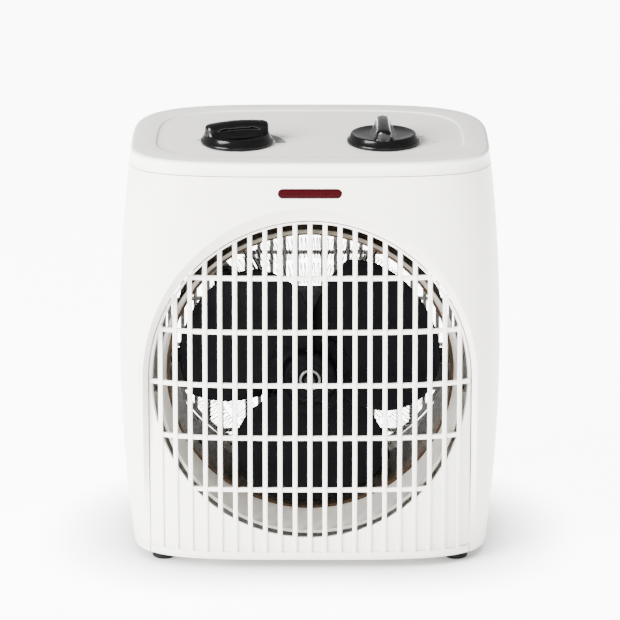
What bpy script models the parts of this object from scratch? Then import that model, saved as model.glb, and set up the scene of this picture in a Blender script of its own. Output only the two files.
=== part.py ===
"""Table-top fan heater: a moulded barrel case, a front fan and an open-coil element on mica.

Lengths are in millimetres until a mesh is finished, which is when it is scaled to metres.
The front faces -Y, +X is to the right as the user sees it, and the feet stand on z = 0.
The origin is the middle of the footprint.
"""

import math

import bmesh
import bpy
from mathutils import Matrix, Vector

METRES = 0.001
GAP = 0.3  # clearance between pieces that touch

# ---------------------------------------------------------------- driving dimensions

WIDTH = 210.0  # widest, at the waist of the barrel
FRONT_Y = -72.0  # the front where it stands out most
REAR_Y = 70.5
BASE_Z = 5.0  # underside of the case, which the feet hold off the table
SEAM_Z = 219.7  # level joint between the case and the top cap
TOP_FRONT_Z = 227.2  # front edge of the control panel
PANEL_SLOPE = math.radians(2.3)  # the panel rises towards the rear
WALL = 2.4  # moulded wall thickness

WIDEST_Z = 114.0  # height of the waist seen from the front
SIDE_ARC = 930.0  # radius of the barrel's side profile
BULGE_Z = 92.0  # height where the front and the rear stand out most
FRONT_ARC = 800.0
REAR_ARC = 2450.0
WIDEST_Y = -8.0  # plane of the greatest width seen from above
SQUARENESS = 3.8  # exponent of the rounded plan outline
PLAN_POINTS = 48
SPLIT_Y = 15.0  # the front and the rear half of the case meet here

AXIS_Z = 104.6  # height of the fan axis
OPENING_R = 86.8  # air outlet in the front grille
RECESS_START_Z = 9.5  # the grille is flush with the case below this
RECESS_SLOPE = 0.0824  # how fast the grille sinks behind the case above it
FOOT_OF_BEVEL_R = 88.4  # inner edge of the bevel round the recess
BEVEL_HALF_WIDTH = 91.3  # outer edge of the bevel
BEVEL_RISE = 98.9  # outer edge of the bevel above the fan axis
GRILLE_T = 3.0
GRILLE_BACK = 4.6  # what stands behind the grille keeps this far behind its face
BAR_PITCH = 8.16
BAR_W = 2.5
BARS_EACH_SIDE = 10
CROSSBAR_Z = [45.3 + 29.15 * row for row in range(5)]

INTAKE_R = 84.0
INTAKE_PLATE_R = 87.0
INTAKE_PITCH = 7.35
INTAKE_BAR_W = 2.3
INTAKE_BARS_EACH_SIDE = 11
INTAKE_ROW = 26.7

KNOB_X = 40.0
KNOB_Y = -16.0
KNOB_R = 19.9
KNOB_H = 12.0
PANEL_SINK = 0.6
PANEL_T = 2.8
SPINDLE_R = 3.0

FAN_R = 73.6
BLADES = 3
BLADE_Y = -43.0
BLADE_T = 1.6
HUB_R = 15.0
SHAFT_R = 3.0

STACK_FRONT = -26.0  # laminated motor core
STACK_REAR = -8.0

DUCT_REAR = -39.0
MICA_R = 79.0
MICA_T = 1.5
MICA_REAR = 13.0
COIL_Y = -8.0
COIL_WIRE_R = 6.0  # outer radius of the wound coil
COIL_RINGS = {"inner_heating_coil": 48.0, "outer_heating_coil": 62.5}
BOARD_ANGLES = [60.0 * step for step in range(6)]

FOOT_R = 6.5
FOOT_PLACES = {
    "foot_front_left": (-81.0, -45.5),
    "foot_front_right": (81.0, -45.5),
    "foot_rear_left": (-76.0, 48.0),
    "foot_rear_right": (76.0, 48.0),
}
CASE_SCREWS = {
    "case_screw_lower_left": (-90.0, 20.0),
    "case_screw_lower_right": (90.0, 20.0),
    "case_screw_upper_left": (-88.0, 200.0),
    "case_screw_upper_right": (88.0, 200.0),
}
SCREW_R = 1.6
SCREW_HEAD_R = 3.5

LENS_Z = 211.0
LENS_HALF_LENGTH = 17.0
LENS_HALF_HEIGHT = 2.4

INLET_X = 60.0
INLET_Z = 27.0

SUPPORT_Z = AXIS_Z - 17.0  # centre line of the strap that carries the motor
MOTOR_SCREW_X = 20.0
SUPPORT_SCREW_X = 91.0

# ---------------------------------------------------------------- finishes

FINISHES = {
    "white_plastic": ((0.80, 0.80, 0.78), 0.42, 0.0),
    "duct_plastic": ((0.62, 0.60, 0.56), 0.50, 0.0),
    "gloss_black": ((0.012, 0.012, 0.013), 0.18, 0.0),
    "fan_black": ((0.015, 0.016, 0.020), 0.40, 0.0),
    "red_lens": ((0.16, 0.008, 0.012), 0.12, 0.0),
    "lamp_glass": ((0.80, 0.42, 0.25), 0.10, 0.0),
    "rubber": ((0.02, 0.02, 0.02), 0.70, 0.0),
    "mica": ((0.16, 0.10, 0.06), 0.45, 0.0),
    "resistance_wire": ((0.10, 0.09, 0.085), 0.45, 1.0),
    "steel": ((0.55, 0.55, 0.55), 0.35, 1.0),
    "lamination": ((0.10, 0.11, 0.14), 0.50, 0.8),
    "winding": ((0.03, 0.03, 0.08), 0.35, 0.2),
    "ceramic": ((0.78, 0.75, 0.68), 0.35, 0.0),
    "control_plastic": ((0.09, 0.09, 0.10), 0.45, 0.0),
}


def material(finish):
    """The material of a finish, made once."""
    if finish in bpy.data.materials:
        return bpy.data.materials[finish]
    colour, roughness, metallic = FINISHES[finish]
    made = bpy.data.materials.new(finish)
    made.use_nodes = True
    shader = made.node_tree.nodes["Principled BSDF"]
    shader.inputs["Base Color"].default_value = (*colour, 1.0)
    shader.inputs["Roughness"].default_value = roughness
    shader.inputs["Metallic"].default_value = metallic
    made.diffuse_color = (*colour, 1.0)
    return made


# ---------------------------------------------------------------- the barrel's surfaces


def half_width(z):
    return WIDTH / 2 - (z - WIDEST_Z) ** 2 / (2 * SIDE_ARC)


def front_edge(z):
    return FRONT_Y + (z - BULGE_Z) ** 2 / (2 * FRONT_ARC)


def rear_edge(z):
    return REAR_Y - (z - BULGE_Z) ** 2 / (2 * REAR_ARC)


def fullness(x, z):
    """How much of its depth the rounded plan keeps at x, from 1 in the middle to 0 at the side."""
    return (1 - abs(x / half_width(z)) ** SQUARENESS) ** (1 / SQUARENESS)


def front_face(x, z):
    return WIDEST_Y + (front_edge(z) - WIDEST_Y) * fullness(x, z)


def rear_face(x, z):
    return WIDEST_Y + (rear_edge(z) - WIDEST_Y) * fullness(x, z)


def grille_face(x, z):
    """The front grille's surface, which leans back from the case as it rises."""
    return front_face(x, z) + max(0.0, z - RECESS_START_Z) * RECESS_SLOPE


def panel_z(y):
    """Height of the sloping control panel."""
    return TOP_FRONT_Z + (y - front_edge(TOP_FRONT_Z)) * math.tan(PANEL_SLOPE)


def plan(z, inset=0.0):
    """The case outline at height z, moved inwards by inset."""
    wide = half_width(z) - inset
    points = []
    for step in range(PLAN_POINTS):
        angle = 2 * math.pi * step / PLAN_POINTS
        across, along = math.cos(angle), math.sin(angle)
        edge = rear_edge(z) if along > 0 else front_edge(z)
        deep = abs(edge - WIDEST_Y) - inset
        stretch = (abs(across) / wide) ** SQUARENESS + (abs(along) / deep) ** SQUARENESS
        reach = stretch ** (-1 / SQUARENESS)
        points.append(Vector((reach * across, WIDEST_Y + reach * along, z)))
    return points


def sloped_plan(inset, drop):
    """The outline at the control panel, laid on a plane that is drop below the panel."""
    ring = plan(TOP_FRONT_Z, inset)
    return [Vector((point.x, point.y, panel_z(point.y) - drop)) for point in ring]


# ---------------------------------------------------------------- solids


def loft(rings):
    """A closed solid through rings with the same number of points, capped at both ends."""
    mesh = bmesh.new()
    rows = [[mesh.verts.new(point) for point in ring] for ring in rings]
    for low, high in zip(rows, rows[1:]):
        for i in range(len(low)):
            j = (i + 1) % len(low)
            mesh.faces.new((low[i], low[j], high[j], high[i]))
    mesh.faces.new(rows[0])
    mesh.faces.new(rows[-1])
    bmesh.ops.recalc_face_normals(mesh, faces=mesh.faces[:])
    return mesh


def thicken(mesh, move):
    """Turns a sheet of faces into a closed solid by extruding all of it along one vector."""
    made = bmesh.ops.extrude_face_region(mesh, geom=mesh.faces[:])
    corners = [item for item in made["geom"] if isinstance(item, bmesh.types.BMVert)]
    bmesh.ops.translate(mesh, verts=corners, vec=Vector(move))
    bmesh.ops.recalc_face_normals(mesh, faces=mesh.faces[:])
    return mesh


def prism(outline, move):
    """A closed solid: one flat outline extruded along a vector."""
    mesh = bmesh.new()
    mesh.faces.new([mesh.verts.new(point) for point in outline])
    return thicken(mesh, move)


def turned(profile, steps, closed=False):
    """A profile of (radius, height) turned about Z. A closed profile makes a ring with a bore."""
    mesh = bmesh.new()
    corners = [mesh.verts.new((radius, 0.0, height)) for radius, height in profile]
    pairs = list(zip(corners, corners[1:]))
    if closed:
        pairs.append((corners[-1], corners[0]))
    edges = [mesh.edges.new(pair) for pair in pairs]
    bmesh.ops.spin(
        mesh,
        geom=corners + edges,
        axis=(0, 0, 1),
        cent=(0, 0, 0),
        angle=2 * math.pi,
        steps=steps,
        use_duplicate=False,
    )
    bmesh.ops.remove_doubles(mesh, verts=mesh.verts[:], dist=0.001)
    bmesh.ops.recalc_face_normals(mesh, faces=mesh.faces[:])
    return mesh


def tube(inner, outer, low, high, steps):
    """A plain ring about Z between two heights."""
    profile = [(inner, low), (outer, low), (outer, high), (inner, high)]
    return turned(profile, steps, closed=True)


def rod(radius, low, high, steps=16):
    """A plain cylinder about Z between two heights."""
    return turned([(0.0, low), (radius, low), (radius, high), (0.0, high)], steps)


def block(low, high):
    """A box between two corners."""
    low, high = Vector(low), Vector(high)
    mesh = bmesh.new()
    size = Matrix.Diagonal((*(high - low), 1.0))
    bmesh.ops.create_cube(mesh, size=1.0, matrix=Matrix.Translation((low + high) / 2) @ size)
    return mesh


def rounded(mesh, width):
    """The mesh with all its edges bevelled a little."""
    bmesh.ops.bevel(mesh, geom=mesh.edges[:], offset=width, segments=1, affect="EDGES", profile=0.5)
    return mesh


def moved(mesh, place):
    """The mesh after a move or a turn."""
    mesh.transform(place)
    return mesh


def at(x, y, z):
    return Matrix.Translation((x, y, z))


def along_y(x, z):
    """Turns a solid made about Z so that its heights run along +Y, on the line through x and z."""
    return at(x, 0, z) @ Matrix.Rotation(-math.pi / 2, 4, "X")


def round_axis(angle):
    """A frame turned about the fan axis: its X points outwards at that angle above +X."""
    return at(0, 0, AXIS_Z) @ Matrix.Rotation(-math.radians(angle), 4, "Y")


def stadium(half_length, half_height, y, z, steps=6):
    """The outline of a slot with round ends, lying along X."""
    straight = half_length - half_height
    points = []
    for side in (1, -1):
        for step in range(steps + 1):
            angle = math.pi * (step / steps - 0.5)
            x = side * (straight + half_height * math.cos(angle))
            points.append(Vector((x, y, z + side * half_height * math.sin(angle))))
    return points


# ---------------------------------------------------------------- objects


def new_object(name, mesh, parent=None):
    mesh.transform(Matrix.Scale(METRES, 4))
    data = bpy.data.meshes.new(name)
    mesh.to_mesh(data)
    mesh.free()
    made = bpy.data.objects.new(name, data)
    made.parent = parent
    bpy.context.scene.collection.objects.link(made)
    return made


def helper(name, mesh, parent=None, within=None):
    """A shape that only cuts or joins others, trimmed by another helper if one is named."""
    made = new_object(name, mesh, parent)
    made.hide_render = True
    made.display_type = "WIRE"
    if within:
        combine(made, "INTERSECT", within)
    return made


def combine(target, operation, other, solver="EXACT"):
    modifier = target.modifiers.new(other.name, "BOOLEAN")
    modifier.operation = operation
    modifier.solver = solver
    modifier.object = other


def piece(name, finish, mesh, cut=(), join=(), parent=None, solver="EXACT"):
    """One finished sub-part: a solid, then what is cut from it, then what is joined to it.

    What is cut or joined is a mesh, or a helper object that several pieces share.
    """
    made = new_object(name, mesh, parent)
    made.data.materials.append(material(finish))
    for operation, others in (("DIFFERENCE", cut), ("UNION", join)):
        for number, other in enumerate(others):
            if isinstance(other, bmesh.types.BMesh):
                label = f"{name}_{operation.lower()}_{number}"
                other = helper(label, other, parent)
            combine(made, operation, other, solver)
    made.data.shade_smooth()
    made.data.set_sharp_from_angle(angle=math.radians(35))
    return made


def joint_axis(name, x, y, z, tilt=0.0):
    """An empty on a joint's axis, which carries the pieces that move with the joint."""
    made = bpy.data.objects.new(name, None)
    made.location = Vector((x, y, z)) * METRES
    made.rotation_euler = (tilt, 0.0, 0.0)
    bpy.context.scene.collection.objects.link(made)
    return made


# ---------------------------------------------------------------- the case

CASE_SOLVER = "MANIFOLD"  # keeps the two halves closed where the exact solver leaves slivers
CASE_LEVELS = [BASE_Z, 20.0, 45.0, 70.0, BULGE_Z, WIDEST_Z, 140.0, 170.0, 197.0, SEAM_Z]


def case_pot():
    """Both halves of the case in one: an open pot with a floor."""
    inner = [plan(z, WALL) for z in [BASE_Z + WALL] + CASE_LEVELS[1:]]
    outer = [plan(z) for z in reversed(CASE_LEVELS)]
    return loft(inner + outer)


def half_space(front):
    """Everything in front of the split between the two halves, or everything behind it."""
    if front:
        return block((-200, -200, -50), (200, SPLIT_Y + GAP / 2, 300))
    return block((-200, SPLIT_Y - GAP / 2, -50), (200, 200, 300))


def arch(half_wide, rise, surface, steps=24):
    """Points along the grille's arch, from its left foot over the top to its right foot."""
    low = BASE_Z + 0.5
    outline = [(-half_wide, low), (-half_wide, 38.0), (-half_wide, 71.0)]
    for step in range(steps + 1):
        angle = math.pi * (1 - step / steps)
        outline.append((half_wide * math.cos(angle), AXIS_Z + rise * math.sin(angle)))
    outline += [(half_wide, 71.0), (half_wide, 38.0), (half_wide, low)]
    return [Vector((x, surface(x, z), z)) for x, z in outline]


def bevel_collar():
    """The bevelled wall that leads from the case down to the grille, as sections along the arch."""
    lip = 1.5
    wall = 2.2
    edges = [
        arch(BEVEL_HALF_WIDTH + lip, BEVEL_RISE + lip, lambda x, z: front_face(x, z) + 0.6),
        arch(BEVEL_HALF_WIDTH - GAP, BEVEL_RISE - GAP, lambda x, z: front_face(x, z) + 0.3),
        arch(FOOT_OF_BEVEL_R, FOOT_OF_BEVEL_R, grille_face),
        arch(FOOT_OF_BEVEL_R, FOOT_OF_BEVEL_R, lambda x, z: grille_face(x, z) + 5.0),
        arch(FOOT_OF_BEVEL_R + wall, FOOT_OF_BEVEL_R + wall, lambda x, z: grille_face(x, z) + 5.0),
        arch(BEVEL_HALF_WIDTH + lip, BEVEL_RISE + lip, lambda x, z: front_face(x, z) + 1.9),
    ]
    return loft([list(section) for section in zip(*edges)])


def grille_clearance(half_wide, low, high, levels):
    """The room that the grille takes up, within half_wide of the middle."""
    columns = 24
    xs = [half_wide * (2 * column / columns - 1) for column in range(columns + 1)]
    sheet = bmesh.new()
    rows = []
    for level in range(levels + 1):
        z = low + (high - low) * level / levels
        rows.append([sheet.verts.new((x, grille_face(x, z) + GRILLE_BACK, z)) for x in xs])
    for below, above in zip(rows, rows[1:]):
        for i in range(columns):
            sheet.faces.new((below[i], below[i + 1], above[i + 1], above[i]))
    return thicken(sheet, (0, -60, 0))


def arch_cutter():
    """Opens the front wall for the grille and its bevel, down to the top of the floor."""
    low = BASE_Z + WALL
    outlines = []
    for behind in (False, True):
        ring = arch(
            BEVEL_HALF_WIDTH,
            BEVEL_RISE,
            lambda x, z: front_face(x, z) + 9.0 if behind else 2 * FRONT_Y,
        )
        for end in (ring[0], ring[-1]):
            end.z = low
        outlines.append(ring)
    return loft(outlines)


def make_case():
    # The bosses stop inside the wall, so they are trimmed to the middle of it.
    inside = [plan(z, WALL / 2) for z in [BASE_Z + WALL / 2] + CASE_LEVELS[1:-1] + [SEAM_Z - 2]]
    trim = helper("boss_trim", loft(inside))
    front_bosses = []
    rear_bosses = []
    wells = []
    pilots = []
    for name, (x, z) in CASE_SCREWS.items():
        # The lower bosses start on the back of the bevel, so that they miss the grille's edge.
        start = -49.5 if z < AXIS_Z else -70.0
        front_boss = moved(rod(4.5, start, SPLIT_Y - GAP / 2), along_y(x, z))
        front_bosses.append(helper(f"{name}_front_boss", front_boss, within=trim))
        rear_boss = moved(rod(5.8, SPLIT_Y + GAP / 2, 80.0), along_y(x, z))
        rear_bosses.append(helper(f"{name}_rear_boss", rear_boss, within=trim))
        well = turned([(0, 10.0), (1.9, 10.0), (1.9, 22.0), (4.1, 22.0), (4.1, 90.0), (0, 90.0)], 16)
        wells.append(helper(f"{name}_well", moved(well, along_y(x, z))))
        pilots.append(helper(f"{name}_pilot", moved(rod(1.9, -8.0, 20.0), along_y(x, z))))

    foot_holes = {}
    for name, (x, y) in FOOT_PLACES.items():
        foot_holes[name] = helper(f"{name}_hole", moved(rod(2.9, 0, 20, 12), at(x, y, 0)))
    lens_slot = prism(
        stadium(LENS_HALF_LENGTH + GAP, LENS_HALF_HEIGHT + GAP, -80.0, LENS_Z), (0, 40, 0)
    )
    floor_front = grille_clearance(FOOT_OF_BEVEL_R, BASE_Z - 5.0, BASE_Z + 5.0, 1)
    front = piece(
        "front_housing",
        "white_plastic",
        case_pot(),
        cut=[half_space(front=False), arch_cutter(), floor_front, lens_slot],
        join=[bevel_collar(), *front_bosses],
        solver=CASE_SOLVER,
    )
    for name in ("foot_front_left", "foot_front_right"):
        combine(front, "DIFFERENCE", foot_holes[name], CASE_SOLVER)
    for pilot in pilots:
        combine(front, "DIFFERENCE", pilot, CASE_SOLVER)

    intake_hole = moved(rod(INTAKE_PLATE_R + GAP, 30.0, 90.0, 40), along_y(0, AXIS_Z))
    inlet_hole = moved(rod(5.8, 50.0, 90.0), along_y(INLET_X, INLET_Z))
    rear = piece(
        "rear_housing",
        "white_plastic",
        case_pot(),
        cut=[half_space(front=True), intake_hole, inlet_hole],
        join=rear_bosses,
        solver=CASE_SOLVER,
    )
    for name in ("foot_rear_left", "foot_rear_right"):
        combine(rear, "DIFFERENCE", foot_holes[name], CASE_SOLVER)
    for well in wells:
        combine(rear, "DIFFERENCE", well, CASE_SOLVER)


def make_top_cap():
    rings = [
        sloped_plan(WALL, PANEL_T),
        plan(SEAM_Z + GAP, WALL),
        plan(SEAM_Z + GAP),
        sloped_plan(0.0, 1.2),
        sloped_plan(1.2, 0.0),
        sloped_plan(14.0, 0.0),
        sloped_plan(14.6, PANEL_SINK),
    ]
    holes = []
    for side in (-1, 1):
        place = at(side * KNOB_X, KNOB_Y, panel_z(KNOB_Y)) @ Matrix.Rotation(PANEL_SLOPE, 4, "X")
        holes.append(moved(rod(4.5, -12.0, 12.0), place))
    piece("top_cap", "white_plastic", loft(rings), cut=holes)


def circle_height(radius, x):
    return math.sqrt(max(radius**2 - x**2, 0.0))


def slot_ends(left, right, rows, radius):
    """The slots between two upright edges: (bottom, top) at the left edge and at the right one."""
    slots = []
    for bottom, top in rows:
        ends = []
        for x in (left, right):
            reach = circle_height(radius, x)
            ends.append((max(bottom, AXIS_Z - reach), min(top, AXIS_Z + reach)))
        if min(upper - lower for lower, upper in ends) > 0.8:
            slots.append(ends)
    return slots


def fill_strip(mesh, left, right):
    """Triangles between two upward rows of vertices, which may differ in number."""
    i = j = 0
    while i < len(left) - 1 or j < len(right) - 1:
        last_left, last_right = i == len(left) - 1, j == len(right) - 1
        if last_right or (not last_left and left[i + 1].co.z <= right[j + 1].co.z):
            mesh.faces.new((left[i], right[j], left[i + 1]))
            i += 1
        else:
            mesh.faces.new((left[i], right[j], right[j + 1]))
            j += 1


def slotted_plate(surface, low, plate_r, opening_r, bar_edges, rows):
    """A sheet cut by rows of upright slots that end on a circle.

    bar_edges are the positive x of both edges of each bar, and rows are (bottom, top) of each row.
    Each vertex lies on the surface y = surface(x, z), and low(x) is the plate's lower edge.
    """
    xs = sorted({side * x for x in bar_edges + [opening_r, plate_r] for side in (-1, 1)})
    bars = [(0.0, bar_edges[0]), *zip(bar_edges[1::2], bar_edges[2::2])]
    heights = {}
    for x in xs:
        heights[x] = {low(x), AXIS_Z + circle_height(plate_r, x)}
        solid_to = AXIS_Z - circle_height(opening_r, x)
        heights[x].update(z for z in (25.0, 45.0, 65.0) if low(x) + 5 < z < solid_to - 5)
    slots = {}
    for left, right in zip(xs, xs[1:]):
        middle = abs(left + right) / 2
        if middle > opening_r or any(inner <= middle < outer for inner, outer in bars):
            slots[left] = []
            continue
        slots[left] = slot_ends(left, right, rows, opening_r)
        for left_ends, right_ends in slots[left]:
            heights[left].update(left_ends)
            heights[right].update(right_ends)

    mesh = bmesh.new()
    columns = {}
    for x in xs:
        columns[x] = [mesh.verts.new((x, surface(x, z), z)) for z in sorted(heights[x])]
    for left, right in zip(xs, xs[1:]):
        starts = [(columns[left][0].co.z, columns[right][0].co.z)]
        ends = []
        for (lower_left, upper_left), (lower_right, upper_right) in slots[left]:
            ends.append((lower_left, lower_right))
            starts.append((upper_left, upper_right))
        ends.append((columns[left][-1].co.z, columns[right][-1].co.z))
        for start, end in zip(starts, ends):
            sides = []
            for x, lowest, highest in zip((left, right), start, end):
                sides.append([v for v in columns[x] if lowest - 0.01 < v.co.z < highest + 0.01])
            fill_strip(mesh, *sides)
    return mesh


def bar_edge_list(pitch, width, each_side):
    """Edges of the bars at x >= 0: the middle bar's outer edge, then both edges of each other bar."""
    edges = [width / 2]
    for number in range(1, each_side + 1):
        edges += [number * pitch - width / 2, number * pitch + width / 2]
    return edges


def make_grilles():
    rows = []
    lower = 0.0
    for centre in CROSSBAR_Z:
        rows.append((lower, centre - BAR_W / 2))
        lower = centre + BAR_W / 2
    rows.append((lower, 2 * AXIS_Z))
    front = slotted_plate(
        grille_face,
        lambda x: BASE_Z,
        FOOT_OF_BEVEL_R - 2 * GAP,
        OPENING_R,
        bar_edge_list(BAR_PITCH, BAR_W, BARS_EACH_SIDE),
        rows,
    )
    piece("front_grille", "white_plastic", thicken(front, (0, GRILLE_T, 0)))

    rows = []
    lower = 0.0
    for step in range(-3, 3):
        centre = AXIS_Z + (step + 0.5) * INTAKE_ROW
        rows.append((lower, centre - INTAKE_BAR_W / 2))
        lower = centre + INTAKE_BAR_W / 2
    rows.append((lower, 2 * AXIS_Z))
    rear = slotted_plate(
        rear_face,
        lambda x: AXIS_Z - math.sqrt(max(INTAKE_PLATE_R**2 - x**2, 0.0)),
        INTAKE_PLATE_R,
        INTAKE_R,
        bar_edge_list(INTAKE_PITCH, INTAKE_BAR_W, INTAKE_BARS_EACH_SIDE),
        rows,
    )
    piece("intake_grille", "white_plastic", thicken(rear, (0, -WALL, 0)))


def make_lens():
    face = front_edge(LENS_Z) + 0.45
    window = prism(stadium(LENS_HALF_LENGTH, LENS_HALF_HEIGHT, face, LENS_Z), (0, 3.6, 0))
    flange = prism(stadium(19.5, 4.9, face + 3.0, LENS_Z), (0, 1.6, 0))
    piece("lamp_lens", "red_lens", window, join=[flange])
    bulb = turned([(0, -8), (1.6, -8), (3, -6.2), (3, 5.5), (1.0, 8), (0, 8)], 12)
    turn = Matrix.Rotation(math.pi / 2, 4, "Y")
    piece("indicator_lamp", "lamp_glass", moved(bulb, at(0, face + 8.5, LENS_Z) @ turn))


def make_feet():
    profile = [(0, 0), (5.6, 0), (FOOT_R, 1.0), (FOOT_R, BASE_Z - GAP)]
    profile += [(2.6, BASE_Z - GAP), (2.6, 9.0), (0, 9.0)]
    for name, (x, y) in FOOT_PLACES.items():
        piece(name, "rubber", moved(turned(profile, 14), at(x, y, 0)))


def make_case_screws():
    head = 22.0 + GAP
    profile = [(0, 0.0), (SCREW_R, 0.0), (SCREW_R, head), (SCREW_HEAD_R, head)]
    profile += [(SCREW_HEAD_R, head + 1.6), (2.4, head + 2.4), (0, head + 2.4)]
    for name, (x, z) in CASE_SCREWS.items():
        piece(name, "steel", moved(turned(profile, 8), along_y(x, z)))


def make_inlet():
    flange_r = 8.0
    inner, outer = 60.0, rear_face(INLET_X - flange_r, INLET_Z) + GAP
    profile = [(3.8, inner), (5.5, inner), (5.5, outer), (flange_r, outer)]
    profile += [(flange_r, outer + 1.3), (7.0, outer + 1.9), (3.8, outer + 1.9)]
    bush = moved(turned(profile, 16, closed=True), along_y(INLET_X, INLET_Z))
    piece("cord_inlet_bush", "control_plastic", bush)
    body = rounded(block((28, 32, BASE_Z + WALL + GAP), (56, 46, 20)), 0.8)
    wire_holes = [moved(rod(1.8, 20, 60, 10), along_y(x, 14.0)) for x in (33.5, 42.0, 50.5)]
    piece("terminal_block", "ceramic", body, cut=wire_holes)


# ---------------------------------------------------------------- air path and element


def make_duct():
    front = grille_face(0, BASE_Z + 8) - 2.0
    profile = [(85.0, front), (MICA_R, DUCT_REAR), (MICA_R + 1.8, DUCT_REAR), (87.0, front)]
    ring = moved(turned(profile, 36, closed=True), along_y(0, AXIS_Z))

    # The front edge follows the back of the leaning grille.
    front_edge_cut = grille_clearance(90.0, AXIS_Z - 92.0, AXIS_Z + 92.0, 10)
    lugs = []
    for side in (-1, 1):
        inner, outer = sorted((side * 80.0, side * 97.0))
        low = (inner, DUCT_REAR - 5.0, SUPPORT_Z - 7)
        high = (outer, DUCT_REAR + 0.2, SUPPORT_Z + 7)
        lugs.append(block(low, high))
    duct = piece(
        "duct_ring", "duct_plastic", ring, cut=[front_edge_cut], join=lugs, solver=CASE_SOLVER
    )
    for side in (-1, 1):
        pilot = moved(rod(1.9, -60.0, -30.0, 12), along_y(side * SUPPORT_SCREW_X, SUPPORT_Z))
        combine(duct, "DIFFERENCE", helper(f"lug_pilot_{side + 2}", pilot), CASE_SOLVER)
    bore = moved(rod(MICA_R + 0.6, DUCT_REAR - 0.1, DUCT_REAR + 5.0, 36), along_y(0, AXIS_Z))
    combine(duct, "DIFFERENCE", helper("duct_rear_bore", bore), CASE_SOLVER)


def make_element():
    wall = tube(MICA_R - MICA_T, MICA_R, DUCT_REAR + GAP, MICA_REAR, 36)
    piece("mica_tube", "mica", moved(wall, along_y(0, AXIS_Z)))
    for number, angle in enumerate(BOARD_ANGLES, 1):
        board = block((38.5, -20.0, -0.5), (MICA_R - MICA_T - GAP, 8.0, 0.5))
        holes = []
        for radius in COIL_RINGS.values():
            hole = moved(rod(COIL_WIRE_R + 0.5, -5, 5, 10), at(radius, COIL_Y, 0))
            holes.append(moved(hole, round_axis(angle)))
        piece(f"mica_board_{number}", "mica", moved(board, round_axis(angle)), cut=holes)
    for name, radius in COIL_RINGS.items():
        section = [
            (
                radius + COIL_WIRE_R * math.cos(math.pi * step / 4),
                COIL_Y + COIL_WIRE_R * math.sin(math.pi * step / 4),
            )
            for step in range(8)
        ]
        ring = moved(turned(section, 24, closed=True), along_y(0, AXIS_Z))
        piece(name, "resistance_wire", ring)
    terminal = moved(rod(3.5, -15.0, -2.0, 12), along_y(23.0, AXIS_Z - 27.5))
    piece("coil_terminal", "ceramic", terminal)

    cutout = turned([(0, -32), (6.0, -32), (7.5, -30.5), (7.5, -22), (0, -22)], 16)
    place = round_axis(133.0)
    lying = Matrix.Rotation(-math.pi / 2, 4, "X")
    piece("thermal_cutout", "control_plastic", moved(cutout, place @ at(66.5, 0, 0) @ lying))
    bracket = block((58.0, -21.7, -6.0), (MICA_R - MICA_T - 1.2, -20.7, 6.0))
    foot = block((MICA_R - 4.6, -21.5, -6.0), (MICA_R - 3.6, -10.0, 6.0))
    piece("cutout_bracket", "steel", moved(bracket, place), join=[moved(foot, place)])


# ---------------------------------------------------------------- motor


def bearing_bracket(name, face, outward):
    """A pressed bridge over the bore of the core with a bearing boss in its middle.

    face is the side of the core that it sits on, and outward is -1 at the front and 1 at the rear.
    """
    path = [(26.0, 0.0), (18.0, 0.0), (14.0, 5.5), (-14.0, 5.5), (-18.0, 0.0), (-26.0, 0.0)]
    start = face + outward * GAP
    outer = [Vector((x, start + outward * (rise + 1.5), AXIS_Z - 8)) for x, rise in path]
    inner = [Vector((x, start + outward * rise, AXIS_Z - 8)) for x, rise in reversed(path)]
    strip = prism(outer + inner, (0, 0, 16))
    ends = sorted((face + outward * 4.0, face + outward * 10.0))
    boss = moved(rod(7.0, *ends, 16), along_y(0, AXIS_Z))
    made = piece(name, "steel", strip, join=[boss])
    bore = moved(rod(SHAFT_R + GAP, -60, 30, 12), along_y(0, AXIS_Z))
    combine(made, "DIFFERENCE", helper(f"{name}_bore", bore))


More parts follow.
